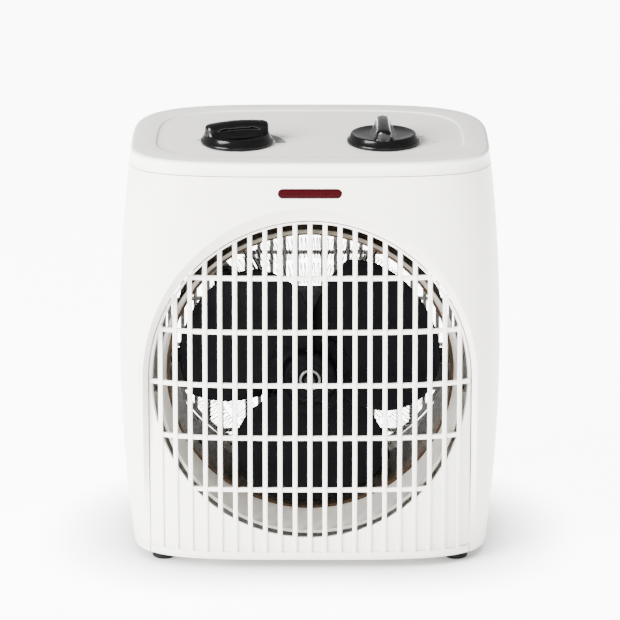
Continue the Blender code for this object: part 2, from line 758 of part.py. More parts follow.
def make_motor():
    core = block((-26, STACK_FRONT, AXIS_Z - 22), (26, STACK_REAR, AXIS_Z + 31))
    window = block((-17, -60, AXIS_Z + 15), (17, 30, AXIS_Z + 24))
    bore = moved(rod(12.3, -60, 30, 24), along_y(0, AXIS_Z))
    bolts = [
        moved(rod(2.1, -60, 30, 10), along_y(side * MOTOR_SCREW_X, SUPPORT_Z)) for side in (-1, 1)
    ]
    piece("motor_core", "lamination", core, cut=[window, bore, *bolts])

    coil = block((-14, STACK_FRONT - 8, AXIS_Z + 15.7), (14, STACK_REAR + 8, AXIS_Z + 39.3))
    yoke = block(
        (-40, STACK_FRONT - GAP, AXIS_Z + 24 - GAP),
        (40, STACK_REAR + GAP, AXIS_Z + 31 + GAP),
    )
    piece("motor_winding", "winding", rounded(coil, 2.5), cut=[yoke])
    bearing_bracket("front_bearing_bracket", STACK_FRONT, -1)
    bearing_bracket("rear_bearing_bracket", STACK_REAR, 1)

    # The strap is a bent strip: a crossbar behind the element, two legs and two feet.
    reach, leg, thick = 96.0, 85.0, 1.5
    rear, front = 15.0, DUCT_REAR + 0.5
    half = [(reach, front), (reach, front + thick), (leg, front + thick), (leg, rear)]
    inner_half = [(leg - thick, rear - thick), (leg - thick, front)]
    outline = half + [(-x, y) for x, y in reversed(half)]
    outline += [(-x, y) for x, y in reversed(inner_half)] + inner_half
    points = [Vector((x, y, SUPPORT_Z - 6.5)) for x, y in outline]
    holes = []
    for x in (-SUPPORT_SCREW_X, -MOTOR_SCREW_X, MOTOR_SCREW_X, SUPPORT_SCREW_X):
        holes.append(moved(rod(2.1, -60, 30, 10), along_y(x, SUPPORT_Z)))
    piece("motor_support", "steel", prism(points, (0, 0, 13)), cut=holes)

    for side, label in ((-1, "left"), (1, "right")):
        x = side * MOTOR_SCREW_X
        spacer = tube(2.1, 4.0, STACK_REAR + GAP, rear - thick - GAP, 10)
        piece(f"motor_spacer_{label}", "steel", moved(spacer, along_y(x, SUPPORT_Z)))
        head = rear + GAP
        profile = [(0, -28.0), (SCREW_R, -28.0), (SCREW_R, head), (SCREW_HEAD_R, head)]
        profile += [(SCREW_HEAD_R, head + 2.2), (0, head + 2.2)]
        screw = moved(turned(profile, 8), along_y(x, SUPPORT_Z))
        piece(f"motor_screw_{label}", "steel", screw)
        head = front + thick + GAP
        profile = [(0, -46.0), (SCREW_R, -46.0), (SCREW_R, head), (SCREW_HEAD_R, head)]
        profile += [(SCREW_HEAD_R, head + 2.2), (0, head + 2.2)]
        screw = moved(turned(profile, 8), along_y(side * SUPPORT_SCREW_X, SUPPORT_Z))
        piece(f"support_screw_{label}", "steel", screw)


# ---------------------------------------------------------------- fan, which turns about Y


def fan_blade(centre):
    """One wide petal, in the frame of the fan axis. It is twisted from one edge to the other."""
    root, radial_steps, side_steps = 12.0, 5, 8
    sheet = bmesh.new()
    rows = []
    for i in range(radial_steps + 1):
        out = i / radial_steps
        leading = math.radians(63 - 27 * out**2.6)
        trailing = math.radians(60 - 26 * out**1.6)
        rise = 9.0 + 5.0 * out
        row = []
        for j in range(side_steps + 1):
            across = 2 * j / side_steps - 1
            tip = FAN_R * (1 - 0.10 * abs(across) ** 3)
            radius = root + (tip - root) * out
            angle = centre + across * (leading if across < 0 else trailing)
            y = BLADE_Y - BLADE_T / 2 + across * rise / 2
            row.append(sheet.verts.new((radius * math.cos(angle), y, radius * math.sin(angle))))
        rows.append(row)
    for low, high in zip(rows, rows[1:]):
        for j in range(side_steps):
            sheet.faces.new((low[j], low[j + 1], high[j + 1], high[j]))
    return thicken(sheet, (0, BLADE_T, 0))


def make_fan():
    axis = joint_axis("fan_axis", 0, 0, AXIS_Z)
    upright = Matrix.Rotation(-math.pi / 2, 4, "X")
    bore = SHAFT_R + GAP
    hub = [(bore, -54.0), (12.5, -54.0), (HUB_R, -52.0), (HUB_R, -38.0), (bore, -38.0)]
    blades = [fan_blade(math.radians(30 + 360 * n / BLADES)) for n in range(BLADES)]
    hub_mesh = moved(turned(hub, 20, closed=True), upright)
    piece("fan", "fan_black", hub_mesh, join=blades, parent=axis)
    clip = tube(bore / math.cos(math.pi / 6), 6.0, -55.6, -54.0 - GAP, 6)
    piece("fan_clip", "steel", moved(clip, upright), parent=axis)
    shaft = [(0, -57.5), (2.4, -57.5), (SHAFT_R, -56.9), (SHAFT_R, 1.5), (0, 1.5)]
    piece("motor_shaft", "steel", moved(turned(shaft, 12), upright), parent=axis)
    rotor = tube(bore, 11.9, STACK_FRONT + 0.5, STACK_REAR - 0.5, 24)
    piece("motor_rotor", "lamination", moved(rotor, upright), parent=axis)


# ---------------------------------------------------------------- controls


def grip_bar(length, width, height, droop):
    """The finger bar of a knob: sections along its length, lower at the ends."""
    sections = []
    steps = 8
    for step in range(steps + 1):
        along = 2 * step / steps - 1
        x = along * length / 2
        top = height - droop * along**2
        taper = 1 - 0.45 * along**6
        low, high = width * taper / 2, width * taper * 0.36
        sections.append(
            [
                Vector((x, -low, 2.0)),
                Vector((x, low, 2.0)),
                Vector((x, high, top - 1.2)),
                Vector((x, high * 0.6, top)),
                Vector((x, -high * 0.6, top)),
                Vector((x, -high, top - 1.2)),
            ]
        )
    return loft(sections)


def make_control(label, side, body_half, bar_angle, body_name):
    """A knob and its spindle, which turn, and the fixed switch body under the panel."""
    x = side * KNOB_X
    axis = joint_axis(f"{label}_axis", x, KNOB_Y, panel_z(KNOB_Y), PANEL_SLOPE)
    low = 0.4 - PANEL_SINK
    profile = [(0, low), (KNOB_R - 0.4, low), (KNOB_R, low + 0.5), (KNOB_R, low + 1.6)]
    profile += [(17.0, 4.6), (15.6, 4.9), (13.5, 4.3), (0, 3.6)]
    bar = moved(grip_bar(33.0, 9.0, KNOB_H, 2.4), Matrix.Rotation(math.radians(bar_angle), 4, "Z"))
    knob = piece(f"{label}_knob", "gloss_black", turned(profile, 32), join=[bar], parent=axis)
    socket = rod(SPINDLE_R + GAP, -5.0, 8.0, 16)
    combine(knob, "DIFFERENCE", helper(f"{label}_socket", socket, axis))
    piece(f"{label}_spindle", "steel", rod(SPINDLE_R, -8.0, 7.6, 16), parent=axis)

    top = -PANEL_T - 0.6
    body = rounded(block((-body_half, -body_half, top - 21.0), (body_half, body_half, top)), 1.0)
    hole = rod(SPINDLE_R + GAP, top - 6.0, 20.0, 16)
    place = axis_matrix(x)
    piece(body_name, "control_plastic", moved(body, place), cut=[moved(hole, place)])


def axis_matrix(x):
    """The frame of a knob: on the panel, with Z square to it."""
    return at(x, KNOB_Y, panel_z(KNOB_Y)) @ Matrix.Rotation(PANEL_SLOPE, 4, "X")


def clear_scene():
    for old in list(bpy.data.objects):
        bpy.data.objects.remove(old, do_unlink=True)


def main():
    clear_scene()
    make_case()
    make_top_cap()
    make_grilles()
    make_lens()
    make_feet()
    make_case_screws()
    make_inlet()
    make_duct()
    make_element()
    make_motor()
    make_fan()
    make_control("thermostat", -1, 14.0, 17.0, "thermostat_body")
    make_control("selector", 1, 16.0, 90.0, "selector_switch")


main()
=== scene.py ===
# %% [markdown]
# # A table-top fan heater
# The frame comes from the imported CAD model. This script puts the looks round it: a moulded white case,
# a slatted grille, glossy knobs, a black fan and an open-coil element on mica.
# Everything is in metres, with the front towards -Y and the feet on z = 0.

import math
import random

import bpy
from mathutils import Matrix, Vector


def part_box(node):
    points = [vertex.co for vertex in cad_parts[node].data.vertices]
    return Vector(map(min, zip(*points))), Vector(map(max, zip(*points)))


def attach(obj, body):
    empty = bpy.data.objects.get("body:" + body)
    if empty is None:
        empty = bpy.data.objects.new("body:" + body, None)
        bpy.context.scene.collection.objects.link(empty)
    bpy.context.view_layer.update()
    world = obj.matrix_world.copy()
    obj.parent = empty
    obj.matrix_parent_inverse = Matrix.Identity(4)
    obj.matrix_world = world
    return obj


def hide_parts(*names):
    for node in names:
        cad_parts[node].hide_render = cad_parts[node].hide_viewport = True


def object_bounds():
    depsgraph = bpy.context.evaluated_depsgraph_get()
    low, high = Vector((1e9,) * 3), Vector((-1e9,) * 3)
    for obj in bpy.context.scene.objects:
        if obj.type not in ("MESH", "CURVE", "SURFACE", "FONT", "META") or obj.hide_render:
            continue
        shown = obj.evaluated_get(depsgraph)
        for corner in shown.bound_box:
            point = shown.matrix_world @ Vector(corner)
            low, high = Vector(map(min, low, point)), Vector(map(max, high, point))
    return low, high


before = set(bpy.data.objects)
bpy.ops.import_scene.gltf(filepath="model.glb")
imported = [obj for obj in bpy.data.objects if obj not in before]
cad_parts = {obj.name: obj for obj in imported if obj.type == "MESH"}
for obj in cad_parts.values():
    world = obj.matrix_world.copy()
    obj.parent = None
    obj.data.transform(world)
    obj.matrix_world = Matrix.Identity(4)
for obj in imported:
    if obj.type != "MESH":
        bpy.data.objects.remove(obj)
cad_low, cad_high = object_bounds()
MM = 0.001
print("CAD box", tuple(cad_low), tuple(cad_high))

# %% [markdown]
# ## Camera
# A long lens from two metres away keeps the sides of the case upright, as a studio picture does.

# %% Camera
AIM = Vector((0.0, 0.0, 0.129))
CAMERA_ELEVATION = math.radians(15.5)
CAMERA_DISTANCE = 2.0

camera_data = bpy.data.cameras.new("camera")
camera_data.sensor_width = 36.0
camera_data.lens = 207.9
camera_data.clip_end = 50.0
camera = bpy.data.objects.new("camera", camera_data)
camera.location = AIM + CAMERA_DISTANCE * Vector(
    (0.0, -math.cos(CAMERA_ELEVATION), math.sin(CAMERA_ELEVATION))
)
camera.rotation_euler = (math.radians(90) - CAMERA_ELEVATION, 0.0, 0.0)
bpy.context.scene.collection.objects.link(camera)
bpy.context.scene.camera = camera


# %% Socket maths for the materials
class Flow:
    """A node socket that takes part in Python expressions, each of which adds its Math nodes."""

    def __init__(self, tree, socket):
        self.tree = tree
        self.socket = socket

    def node(self, kind, settings=None, out=0, **values):
        """Adds one node: its settings first, then the values or links of its sockets."""
        made = self.tree.nodes.new(kind)
        for key, value in (settings or {}).items():
            if key == "stops":
                ramp = made.color_ramp
                while len(ramp.elements) < len(value):
                    ramp.elements.new(0.5)
                for element, (position, colour) in zip(ramp.elements, value):
                    element.position = position
                    element.color = (*colour, 1.0)
            else:
                setattr(made, key, value)
        for key, value in values.items():
            name = key.replace("_", " ")
            target = made.inputs[int(key[1:])] if key[1:].isdigit() else made.inputs[name]
            if isinstance(value, Flow):
                self.tree.links.new(value.socket, target)
            else:
                target.default_value = value
        return Flow(self.tree, made.outputs[out])

    def maths(self, operation, *others):
        sockets = {f"s{number}": value for number, value in enumerate((self, *others))}
        return self.node("ShaderNodeMath", {"operation": operation}, **sockets)

    def __add__(self, other):
        return self.maths("ADD", other)

    __radd__ = __add__

    def __sub__(self, other):
        return self.maths("SUBTRACT", other)

    def __rsub__(self, other):
        return (self * -1.0) + other

    def __mul__(self, other):
        return self.maths("MULTIPLY", other)

    __rmul__ = __mul__

    def clamp(self, low, high):
        return self.maths("MAXIMUM", low).maths("MINIMUM", high)


def new_material(name, roughness=0.4, metallic=0.0, **constants):
    """A Principled material, and the Flow of its object coordinates in metres."""
    made = bpy.data.materials.new(name)
    made.use_nodes = True
    shader = made.node_tree.nodes["Principled BSDF"]
    shader.inputs["Roughness"].default_value = roughness
    shader.inputs["Metallic"].default_value = metallic
    for key, value in constants.items():
        shader.inputs[key.replace("_", " ")].default_value = value
    start = Flow(made.node_tree, None)
    return made, shader, start.node("ShaderNodeTexCoord", out=3)


def noise(place, scale, detail=3.0, roughness=0.55):
    return place.node(
        "ShaderNodeTexNoise", Vector=place, Scale=scale, Detail=detail, Roughness=roughness
    )


def blend(factor, first, second):
    return factor.node(
        "ShaderNodeMix", {"data_type": "RGBA"}, out=2, s0=factor, s6=(*first, 1.0), s7=(*second, 1.0)
    )


def bump(height, strength, distance):
    return height.node("ShaderNodeBump", Height=height, Strength=strength, Distance=distance)


def feed(shader, **links):
    for key, value in links.items():
        value.tree.links.new(value.socket, shader.inputs[key.replace("_", " ")])


# %% [markdown]
# ## Finishes
# The case is moulded in white plastic with a fine spark-eroded skin: many small bumps, an even satin
# gloss and a hardly visible cloudiness. Noise at three sizes gives that without any picture.


# %% White plastic
def moulded_plastic(name, colour, shade, roughness, grain=1.0):
    """Satin moulded plastic: a fine grain, a faint mottle and a gloss that varies a little."""
    made, shader, place = new_material(name, roughness, Specular_IOR_Level=0.3)
    mottle = noise(place, 28.0, 4.0)
    feed(
        shader,
        Base_Color=blend((mottle * 1.6 - 0.3).clamp(0.0, 1.0), colour, shade),
        Roughness=(noise(place, 90.0) * 0.12 + (roughness - 0.06)),
        Normal=bump(noise(place, 2600.0, 2.0) + noise(place, 900.0) * 0.5, 0.10 * grain, 0.00012),
    )
    return made


white = moulded_plastic("white_moulding", (0.62, 0.603, 0.565), (0.60, 0.583, 0.545), 0.42)
white_panel = moulded_plastic("white_panel", (0.66, 0.645, 0.61), (0.635, 0.62, 0.585), 0.36)
black_part = moulded_plastic("black_moulding", (0.006, 0.006, 0.007), (0.012, 0.012, 0.013), 0.45)


# %% Duct plastic
def duct_plastic():
    """Off-white plastic with painted shade: greyer than the case all over, and darker and browner over the
    upper half of the duct.
    """
    made, shader, place = new_material("duct_moulding", 0.6, Specular_IOR_Level=0.15)
    height = place.node("ShaderNodeSeparateXYZ", out=2, Vector=place)
    cloud = noise(place, 28.0, 4.0)
    # Painted shade: a mask darkens and browns the duct towards the top, and the lower colour is greyer than
    # the case.
    painted_top_shade = (height * 14.0 + cloud * 0.4 - 1.9).clamp(0.0, 1.0)
    feed(
        shader,
        Base_Color=blend(painted_top_shade, (0.42, 0.40, 0.365), (0.050, 0.038, 0.024)),
        Roughness=(cloud * 0.12 + 0.54),
        Normal=bump(noise(place, 2600.0, 2.0), 0.1, 0.00012),
    )
    return made


duct_white = duct_plastic()


# %% Glossy black for the knobs
def polished_black():
    """Polished black plastic with the faint waviness and the fine dust marks of a handled knob."""
    made, shader, place = new_material("polished_black", 0.2, Specular_IOR_Level=0.17)
    wear = noise(place, 160.0, 6.0)
    feed(
        shader,
        Base_Color=blend(wear, (0.0008, 0.0008, 0.0010), (0.0020, 0.0020, 0.0022)),
        Roughness=(wear * 0.16 + 0.10),
        Normal=bump(noise(place, 420.0, 2.0), 0.05, 0.0002),
    )
    return made


knob_black = polished_black()


# %% Fan, lens, lamp and rubber
def fan_plastic():
    """Satin black, with the flow lines that run outwards in a moulded blade."""
    made, shader, place = new_material("fan_plastic", 0.38, Specular_IOR_Level=0.022)
    cloud = noise(place, 34.0, 5.0)
    feed(
        shader,
        Base_Color=blend(cloud, (0.0010, 0.0010, 0.0013), (0.0024, 0.0024, 0.0031)),
        Roughness=(cloud * 0.18 + 0.30),
        Normal=bump(noise(place, 1500.0, 2.0), 0.08, 0.0001),
    )
    return made


def lens_red():
    """A deep red window. Upright flutes inside it catch the light as faint lighter stripes."""
    made, shader, place = new_material("lens_red", 0.2, Specular_IOR_Level=0.03)
    flutes = place.node(
        "ShaderNodeTexWave", {"wave_type": "BANDS", "bands_direction": "X"}, out=1,
        Vector=place, Scale=190.0, Distortion=0.6, Detail=2.0,
    )
    mottle = noise(place, 420.0, 4.0)
    glow = (flutes * 0.45 + mottle * 0.75 - 0.15).clamp(0.0, 1.0)
    feed(
        shader,
        Base_Color=blend(glow, (0.010, 0.0005, 0.0010), (0.022, 0.0007, 0.0016)),
        Roughness=(mottle * 0.15 + 0.08),
    )
    return made


def lamp_glass():
    made, shader, place = new_material("lamp_glass", 0.08, Coat_Weight=0.4)
    cloud = noise(place, 500.0)
    feed(shader, Base_Color=blend(cloud, (0.75, 0.36, 0.22), (0.85, 0.55, 0.40)))
    return made


def foot_rubber():
    """Matt rubber with a dusty bloom."""
    made, shader, place = new_material("foot_rubber", 0.75, Specular_IOR_Level=0.1)
    bloom = noise(place, 300.0, 5.0)
    feed(
        shader,
        Base_Color=blend(bloom, (0.003, 0.003, 0.003), (0.008, 0.008, 0.008)),
        Roughness=(bloom * 0.2 + 0.62),
        Normal=bump(noise(place, 1800.0), 0.2, 0.0002),
    )
    return made


fan_black = fan_plastic()
red = lens_red()
lamp = lamp_glass()
rubber = foot_rubber()


# %% [markdown]
# Mica board is pressed from flakes, so it shows brown patches with bright specks. The resistance
# wire is oxidised and the small metal parts are plated, each with its own scratches and stains.


# %% Mica, wire, metal and ceramic
def mica_sheet():
    made, shader, place = new_material("mica_sheet", 0.55, Specular_IOR_Level=0.04)
    patches = noise(place, 95.0, 6.0, 0.65)
    flakes = place.node("ShaderNodeTexVoronoi", {"feature": "F1"}, Vector=place, Scale=700.0)
    mixed = (patches * 1.3 + flakes * 0.25 - 0.35).clamp(0.0, 1.0)
    feed(
        shader,
        Base_Color=blend(mixed, (0.020, 0.012, 0.007), (0.062, 0.039, 0.022)),
        Roughness=(flakes * 0.4 + 0.42),
        Normal=bump(flakes, 0.25, 0.0002),
    )
    return made


def metal(name, dark, light, roughness, metallic=1.0, stretch=(1.0, 1.0, 1.0), shine=0.5):
    """Bare or plated metal, stained a little, with fine marks that run along one direction."""
    made, shader, place = new_material(name, roughness, metallic, Specular_IOR_Level=shine)
    turned = place.node("ShaderNodeMapping", Vector=place, Scale=Vector(stretch))
    stain = noise(place, 120.0, 5.0)
    marks = noise(turned, 1400.0, 2.0)
    feed(
        shader,
        Base_Color=blend(stain, dark, light),
        Roughness=(marks * 0.25 + stain * 0.15 + (roughness - 0.2)),
        Normal=bump(marks, 0.12, 0.00008),
    )
    return made


def pale_ceramic():
    made, shader, place = new_material("pale_ceramic", 0.5)
    speck = noise(place, 700.0, 5.0)
    feed(
        shader,
        Base_Color=blend(speck, (0.62, 0.57, 0.49), (0.75, 0.71, 0.64)),
        Roughness=(speck * 0.3 + 0.35),
        Normal=bump(speck, 0.2, 0.0002),
    )
    return made


mica = mica_sheet()
wire = metal("heating_wire", (0.003, 0.0024, 0.002), (0.016, 0.013, 0.011), 0.42, 0.3, shine=0.06)
plated = metal("plated_steel", (0.10, 0.10, 0.10), (0.22, 0.215, 0.205), 0.42, stretch=(1, 1, 0.1))
bright = metal("bright_steel", (0.62, 0.62, 0.62), (0.85, 0.85, 0.84), 0.30, stretch=(1, 0.1, 1))
dark_steel = metal("dark_steel", (0.006, 0.006, 0.007), (0.016, 0.016, 0.017), 0.45, 0.6)
laminations = metal(
    "laminations", (0.004, 0.004, 0.008), (0.010, 0.010, 0.018), 0.5, 0.5, stretch=(0.05, 6, 0.05)
)
winding = metal(
    "taped_winding", (0.002, 0.002, 0.008), (0.005, 0.005, 0.018), 0.6, 0.2, stretch=(4, 4, 0.2)
)
ceramic = pale_ceramic()

CAD_FINISHES = {
    "front_housing rear_housing top_cap front_grille intake_grille": white,
    "lamp_lens": red,
    "indicator_lamp": lamp,
    "foot_front_left foot_front_right foot_rear_left foot_rear_right": rubber,
    "cord_inlet_bush thermal_cutout thermostat_body selector_switch": black_part,
    "terminal_block coil_terminal": ceramic,
    "duct_ring": duct_white,
    "mica_tube mica_board_1 mica_board_2 mica_board_3": mica,
    "mica_board_4 mica_board_5 mica_board_6": mica,
    "inner_heating_coil outer_heating_coil": wire,
    "motor_core motor_rotor": laminations,
    "motor_winding": winding,
    "fan": fan_black,
    "thermostat_knob selector_knob": knob_black,
    "thermostat_spindle selector_spindle": bright,
    "motor_shaft motor_support front_bearing_bracket rear_bearing_bracket": dark_steel,
    "motor_spacer_left motor_spacer_right": dark_steel,
}
for names, finish in CAD_FINISHES.items():
    for name in names.split():
        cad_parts[name].data.materials.clear()
        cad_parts[name].data.materials.append(finish)
for name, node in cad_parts.items():
    if not any(name in names.split() for names in CAD_FINISHES):
        node.data.materials.clear()
        node.data.materials.append(plated)
print("finishes on", len(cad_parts), "CAD nodes")

# %% [markdown]
# ## Floor and light
# The floor glows almost white and darkens only where the case is very near, which draws the contact
# shadow. One large soft lamp on the left is much stronger than the fill in front, so the right side of
# the case falls a little into shade.

# %% Studio
FLOOR_SIZE, FLOOR_GLOW = 24.0, 9.5
SHADOW_REACH, SHADOW_POWER = 0.055, 3.2
SKY_STRENGTH = 0.8

bpy.ops.object.select_all(action="DESELECT")
bpy.ops.mesh.primitive_plane_add(size=FLOOR_SIZE, location=(0, 0, 0))
floor = bpy.context.object
floor.name = "studio_floor"
floor_material, floor_shader, floor_place = new_material("studio_floor", 0.9)
cloud = noise(floor_place, 0.4)
closeness = cloud.node("ShaderNodeAmbientOcclusion", {"samples": 8}, out=1, Distance=SHADOW_REACH)
feed(
    floor_shader,
    Base_Color=blend(cloud, (0.42, 0.42, 0.42), (0.44, 0.44, 0.44)),
    Emission_Color=blend(closeness.maths("POWER", SHADOW_POWER), (0.01, 0.01, 0.01), (1.0, 1.0, 1.0)),
)
floor_shader.inputs["Emission Strength"].default_value = FLOOR_GLOW
floor.data.materials.append(floor_material)

world = bpy.data.worlds.new("studio")
world.use_nodes = True
world.node_tree.nodes["Background"].inputs["Color"].default_value = (1.0, 1.0, 1.0, 1.0)
world.node_tree.nodes["Background"].inputs["Strength"].default_value = SKY_STRENGTH
bpy.context.scene.world = world


def softbox(name, place, target, size, power):
    light = bpy.data.lights.new(name, "AREA")
    light.shape = "RECTANGLE"
    light.size, light.size_y = size
    light.energy = power
    made = bpy.data.objects.new(name, light)
    made.location = place
    aim = Vector(target) - Vector(place)
    made.rotation_euler = aim.to_track_quat("-Z", "Y").to_euler()
    bpy.context.scene.collection.objects.link(made)


softbox("key_left", (-1.5, -1.2, 1.0), (0, 0, 0.1), (1.2, 1.4), 300.0)
softbox("front_fill", (0.2, -2.4, 0.6), (0, 0, 0.1), (1.4, 1.0), 14.0)


# %% [markdown]
# ## The barrel
# Seen from above the case is a rounded rectangle, and seen from the side and the front it swells in
# the middle. Circle arcs give the swelling and a superellipse gives the plan. Every outer piece takes
# its surface from these few functions, so the pieces meet without fitting.

# %% The barrel's surfaces
GAP = 0.3 * MM
WALL = 2.4 * MM
HALF_WIDTH = cad_high.x
BASE_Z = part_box("front_housing")[0].z
SEAM_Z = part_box("front_housing")[1].z
SPLIT_Y = 15.0 * MM
FRONT_Y, REAR_Y, WIDEST_Y = -72.0 * MM, 70.5 * MM, -8.0 * MM
WIDEST_Z, BULGE_Z = 114.0 * MM, 92.0 * MM
SIDE_ARC, FRONT_ARC, REAR_ARC = 0.930, 0.800, 2.450
SQUARENESS = 3.8
AXIS_Z = sum(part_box("mica_tube")[end].z for end in (0, 1)) / 2
TOP_FRONT_Z = 227.2 * MM
PANEL_SLOPE = math.radians(2.3)


def half_width(z):
    return HALF_WIDTH - (z - WIDEST_Z) ** 2 / (2 * SIDE_ARC)


def edge_y(z, front=True):
    if front:
        return FRONT_Y + (z - BULGE_Z) ** 2 / (2 * FRONT_ARC)
    return REAR_Y - (z - BULGE_Z) ** 2 / (2 * REAR_ARC)


def face_y(x, z, front=True):
    """The case surface in front of or behind a point that is looked at straight on."""
    across = min(abs(x / half_width(z)), 1.0)
    return WIDEST_Y + (edge_y(z, front) - WIDEST_Y) * (1 - across**SQUARENESS) ** (1 / SQUARENESS)


def plan_point(angle, z, inset=0.0):
    """A point of the case outline at height z. The angle runs anticlockwise from +X."""
    across, along = math.cos(angle), math.sin(angle)
    wide = half_width(z) - inset
    deep = abs(edge_y(z, along < 0) - WIDEST_Y) - inset
    stretch = (abs(across) / wide) ** SQUARENESS + (abs(along) / deep) ** SQUARENESS
    reach = stretch ** (-1 / SQUARENESS)
    return Vector((reach * across, WIDEST_Y + reach * along, z))


def split_angle(z, side):
    """The plan angle where the outline crosses the split between the case halves."""
    low, high = 0.0, math.pi / 2
    for _ in range(40):
        middle = (low + high) / 2
        if plan_point(middle, z).y < SPLIT_Y:
            low = middle
        else:
            high = middle
    return low if side > 0 else math.pi - low


def panel_z(y):
    return TOP_FRONT_Z + (y - edge_y(TOP_FRONT_Z)) * math.tan(PANEL_SLOPE)


# %% [markdown]
# ## Making sheets
# A moulded shell is one continuous sheet with a thickness. It starts as a plain grid, whose rows
# and columns are then laid along the shape: columns round it, rows across it. That keeps the faces
# running along the edges, which a Boolean cut doesn't, so the light slides over it smoothly.


# %% Sheets, closed tubes and joining
def only(piece):
    """Selects one piece and makes it active."""
    bpy.ops.object.select_all(action="DESELECT")
    piece.select_set(True)
    bpy.context.view_layer.objects.active = piece


def edit(piece, *steps):
    """Runs edit-mode steps on the whole of a piece."""
    only(piece)
    bpy.ops.object.mode_set(mode="EDIT")
    bpy.ops.mesh.select_all(action="SELECT")
    for step in steps:
        step()
    bpy.ops.object.mode_set(mode="OBJECT")


def face_out():
    bpy.ops.mesh.select_all(action="SELECT")
    bpy.ops.mesh.normals_make_consistent(inside=False)


def apply_modifier(piece, kind, **settings):
    only(piece)
    modifier = piece.modifiers.new(kind.lower(), kind)
    for key, value in settings.items():
        setattr(modifier, key, value)
    bpy.ops.object.modifier_apply(modifier=modifier.name)


def smooth(piece, angle=32.0):
    only(piece)
    bpy.ops.object.shade_smooth_by_angle(angle=math.radians(angle))


def sheet(name, columns, rows, place, closed=False, capped=False):
    """A grid whose point at (s, t), each from 0 to 1, goes to place(s, t). It may close round s."""
    bpy.ops.object.select_all(action="DESELECT")
    bpy.ops.mesh.primitive_grid_add(x_subdivisions=columns, y_subdivisions=rows, size=1.0)
    piece = bpy.context.object
    piece.name = piece.data.name = name
    for vertex in piece.data.vertices:
        s = round((vertex.co.x + 0.5) * columns) / columns
        t = round((vertex.co.y + 0.5) * rows) / rows
        vertex.co = place(s, t)
    steps = []
    if closed:
        steps.append(lambda: bpy.ops.mesh.remove_doubles(threshold=0.000004))
    if capped:
        steps.append(lambda: bpy.ops.mesh.select_all(action="DESELECT"))
        steps.append(bpy.ops.mesh.select_non_manifold)
        steps.append(lambda: bpy.ops.mesh.fill_holes(sides=0))
    edit(piece, *steps, face_out)
    return piece


def join(name, *pieces):
    bpy.ops.object.select_all(action="DESELECT")
    for piece in pieces:
        piece.select_set(True)
    bpy.context.view_layer.objects.active = pieces[0]
    bpy.ops.object.join()
    pieces[0].name = pieces[0].data.name = name
    return pieces[0]


def finish_piece(piece, finish, body, slot, *nodes, angle=32.0):
    """Puts the place in the mesh, gives the finish, and hides the CAD nodes that the piece stands for."""
    only(piece)
    bpy.ops.object.transform_apply(location=True, rotation=True, scale=True)
    smooth(piece, angle)
    piece.data.materials.clear()
    piece.data.materials.append(finish)
    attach(piece, body)
    if nodes:
        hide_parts(*nodes)
    low, high = (Vector(op(corner[i] for corner in piece.bound_box) for i in range(3)) for op in (min, max))
    print(piece.name, len(piece.data.polygons), "faces,", [round(side, 4) for side in high - low])


# %% [markdown]
# ## Front of the case
# The real one is a single moulding: the barrel's front and sides, and a soft bevel that runs down
# in an arch to the recessed grille. Its grid starts at the foot of the bevel, climbs the bevel in a
# rounded profile, and then spreads over the barrel to the seam at the top and to the split at the
# sides. Solidify gives the wall its thickness.

# %% Front shell
RECESS_START_Z, RECESS_SLOPE = 9.5 * MM, 0.0824
FOOT_R = 88.4 * MM
BEVEL_HALF_WIDTH, BEVEL_RISE = 91.3 * MM, 98.9 * MM
CORNER_ANGLE = math.radians(48.0)
ARCH_LOW = 0.30  # share of the arch's length that each straight leg takes
ARCH_COLUMNS, ARCH_ROWS = 260, 64
BEVEL_PART = 0.30  # share of the rows that lie on the bevel


def recess(z):
    return max(0.0, z - RECESS_START_Z) * RECESS_SLOPE


def grille_y(x, z):
    return face_y(x, z) + recess(z)


def arch_point(s, half_wide, rise):
    """x and z on the arch: up the left leg, over the top and down the right leg."""
    if s < ARCH_LOW:
        return -half_wide, BASE_Z + (AXIS_Z - BASE_Z) * s / ARCH_LOW
    if s > 1 - ARCH_LOW:
        return half_wide, BASE_Z + (AXIS_Z - BASE_Z) * (1 - s) / ARCH_LOW
    angle = math.pi * (1 - (s - ARCH_LOW) / (1 - 2 * ARCH_LOW))
    return half_wide * math.cos(angle), AXIS_Z + rise * math.sin(angle)


def shell_border(s):
    """The plan angle and height where the shell ends: the split at each side, the seam on top."""
    corner = ARCH_LOW + (1 - 2 * ARCH_LOW) * CORNER_ANGLE / math.pi
    if s < corner or s > 1 - corner:
        up = min(s, 1 - s)
        if up < ARCH_LOW:
            z = BASE_Z + (AXIS_Z - BASE_Z) * up / ARCH_LOW
        else:
            z = AXIS_Z + (SEAM_Z - AXIS_Z) * (up - ARCH_LOW) / (corner - ARCH_LOW)
        angle = split_angle(z, -1 if s < 0.5 else 1)
        return (angle, z) if s < 0.5 else (angle + 2 * math.pi, z)
    start, end = split_angle(SEAM_Z, -1), split_angle(SEAM_Z, 1) + 2 * math.pi
    return start + (end - start) * (s - corner) / (1 - 2 * corner), SEAM_Z


def plan_angle(x, z):
    """The plan angle of a point on the front of the case."""
    return math.atan2(face_y(x, z) - WIDEST_Y, x) % (2 * math.pi)


def ease(t):
    return t * t * (3 - 2 * t)


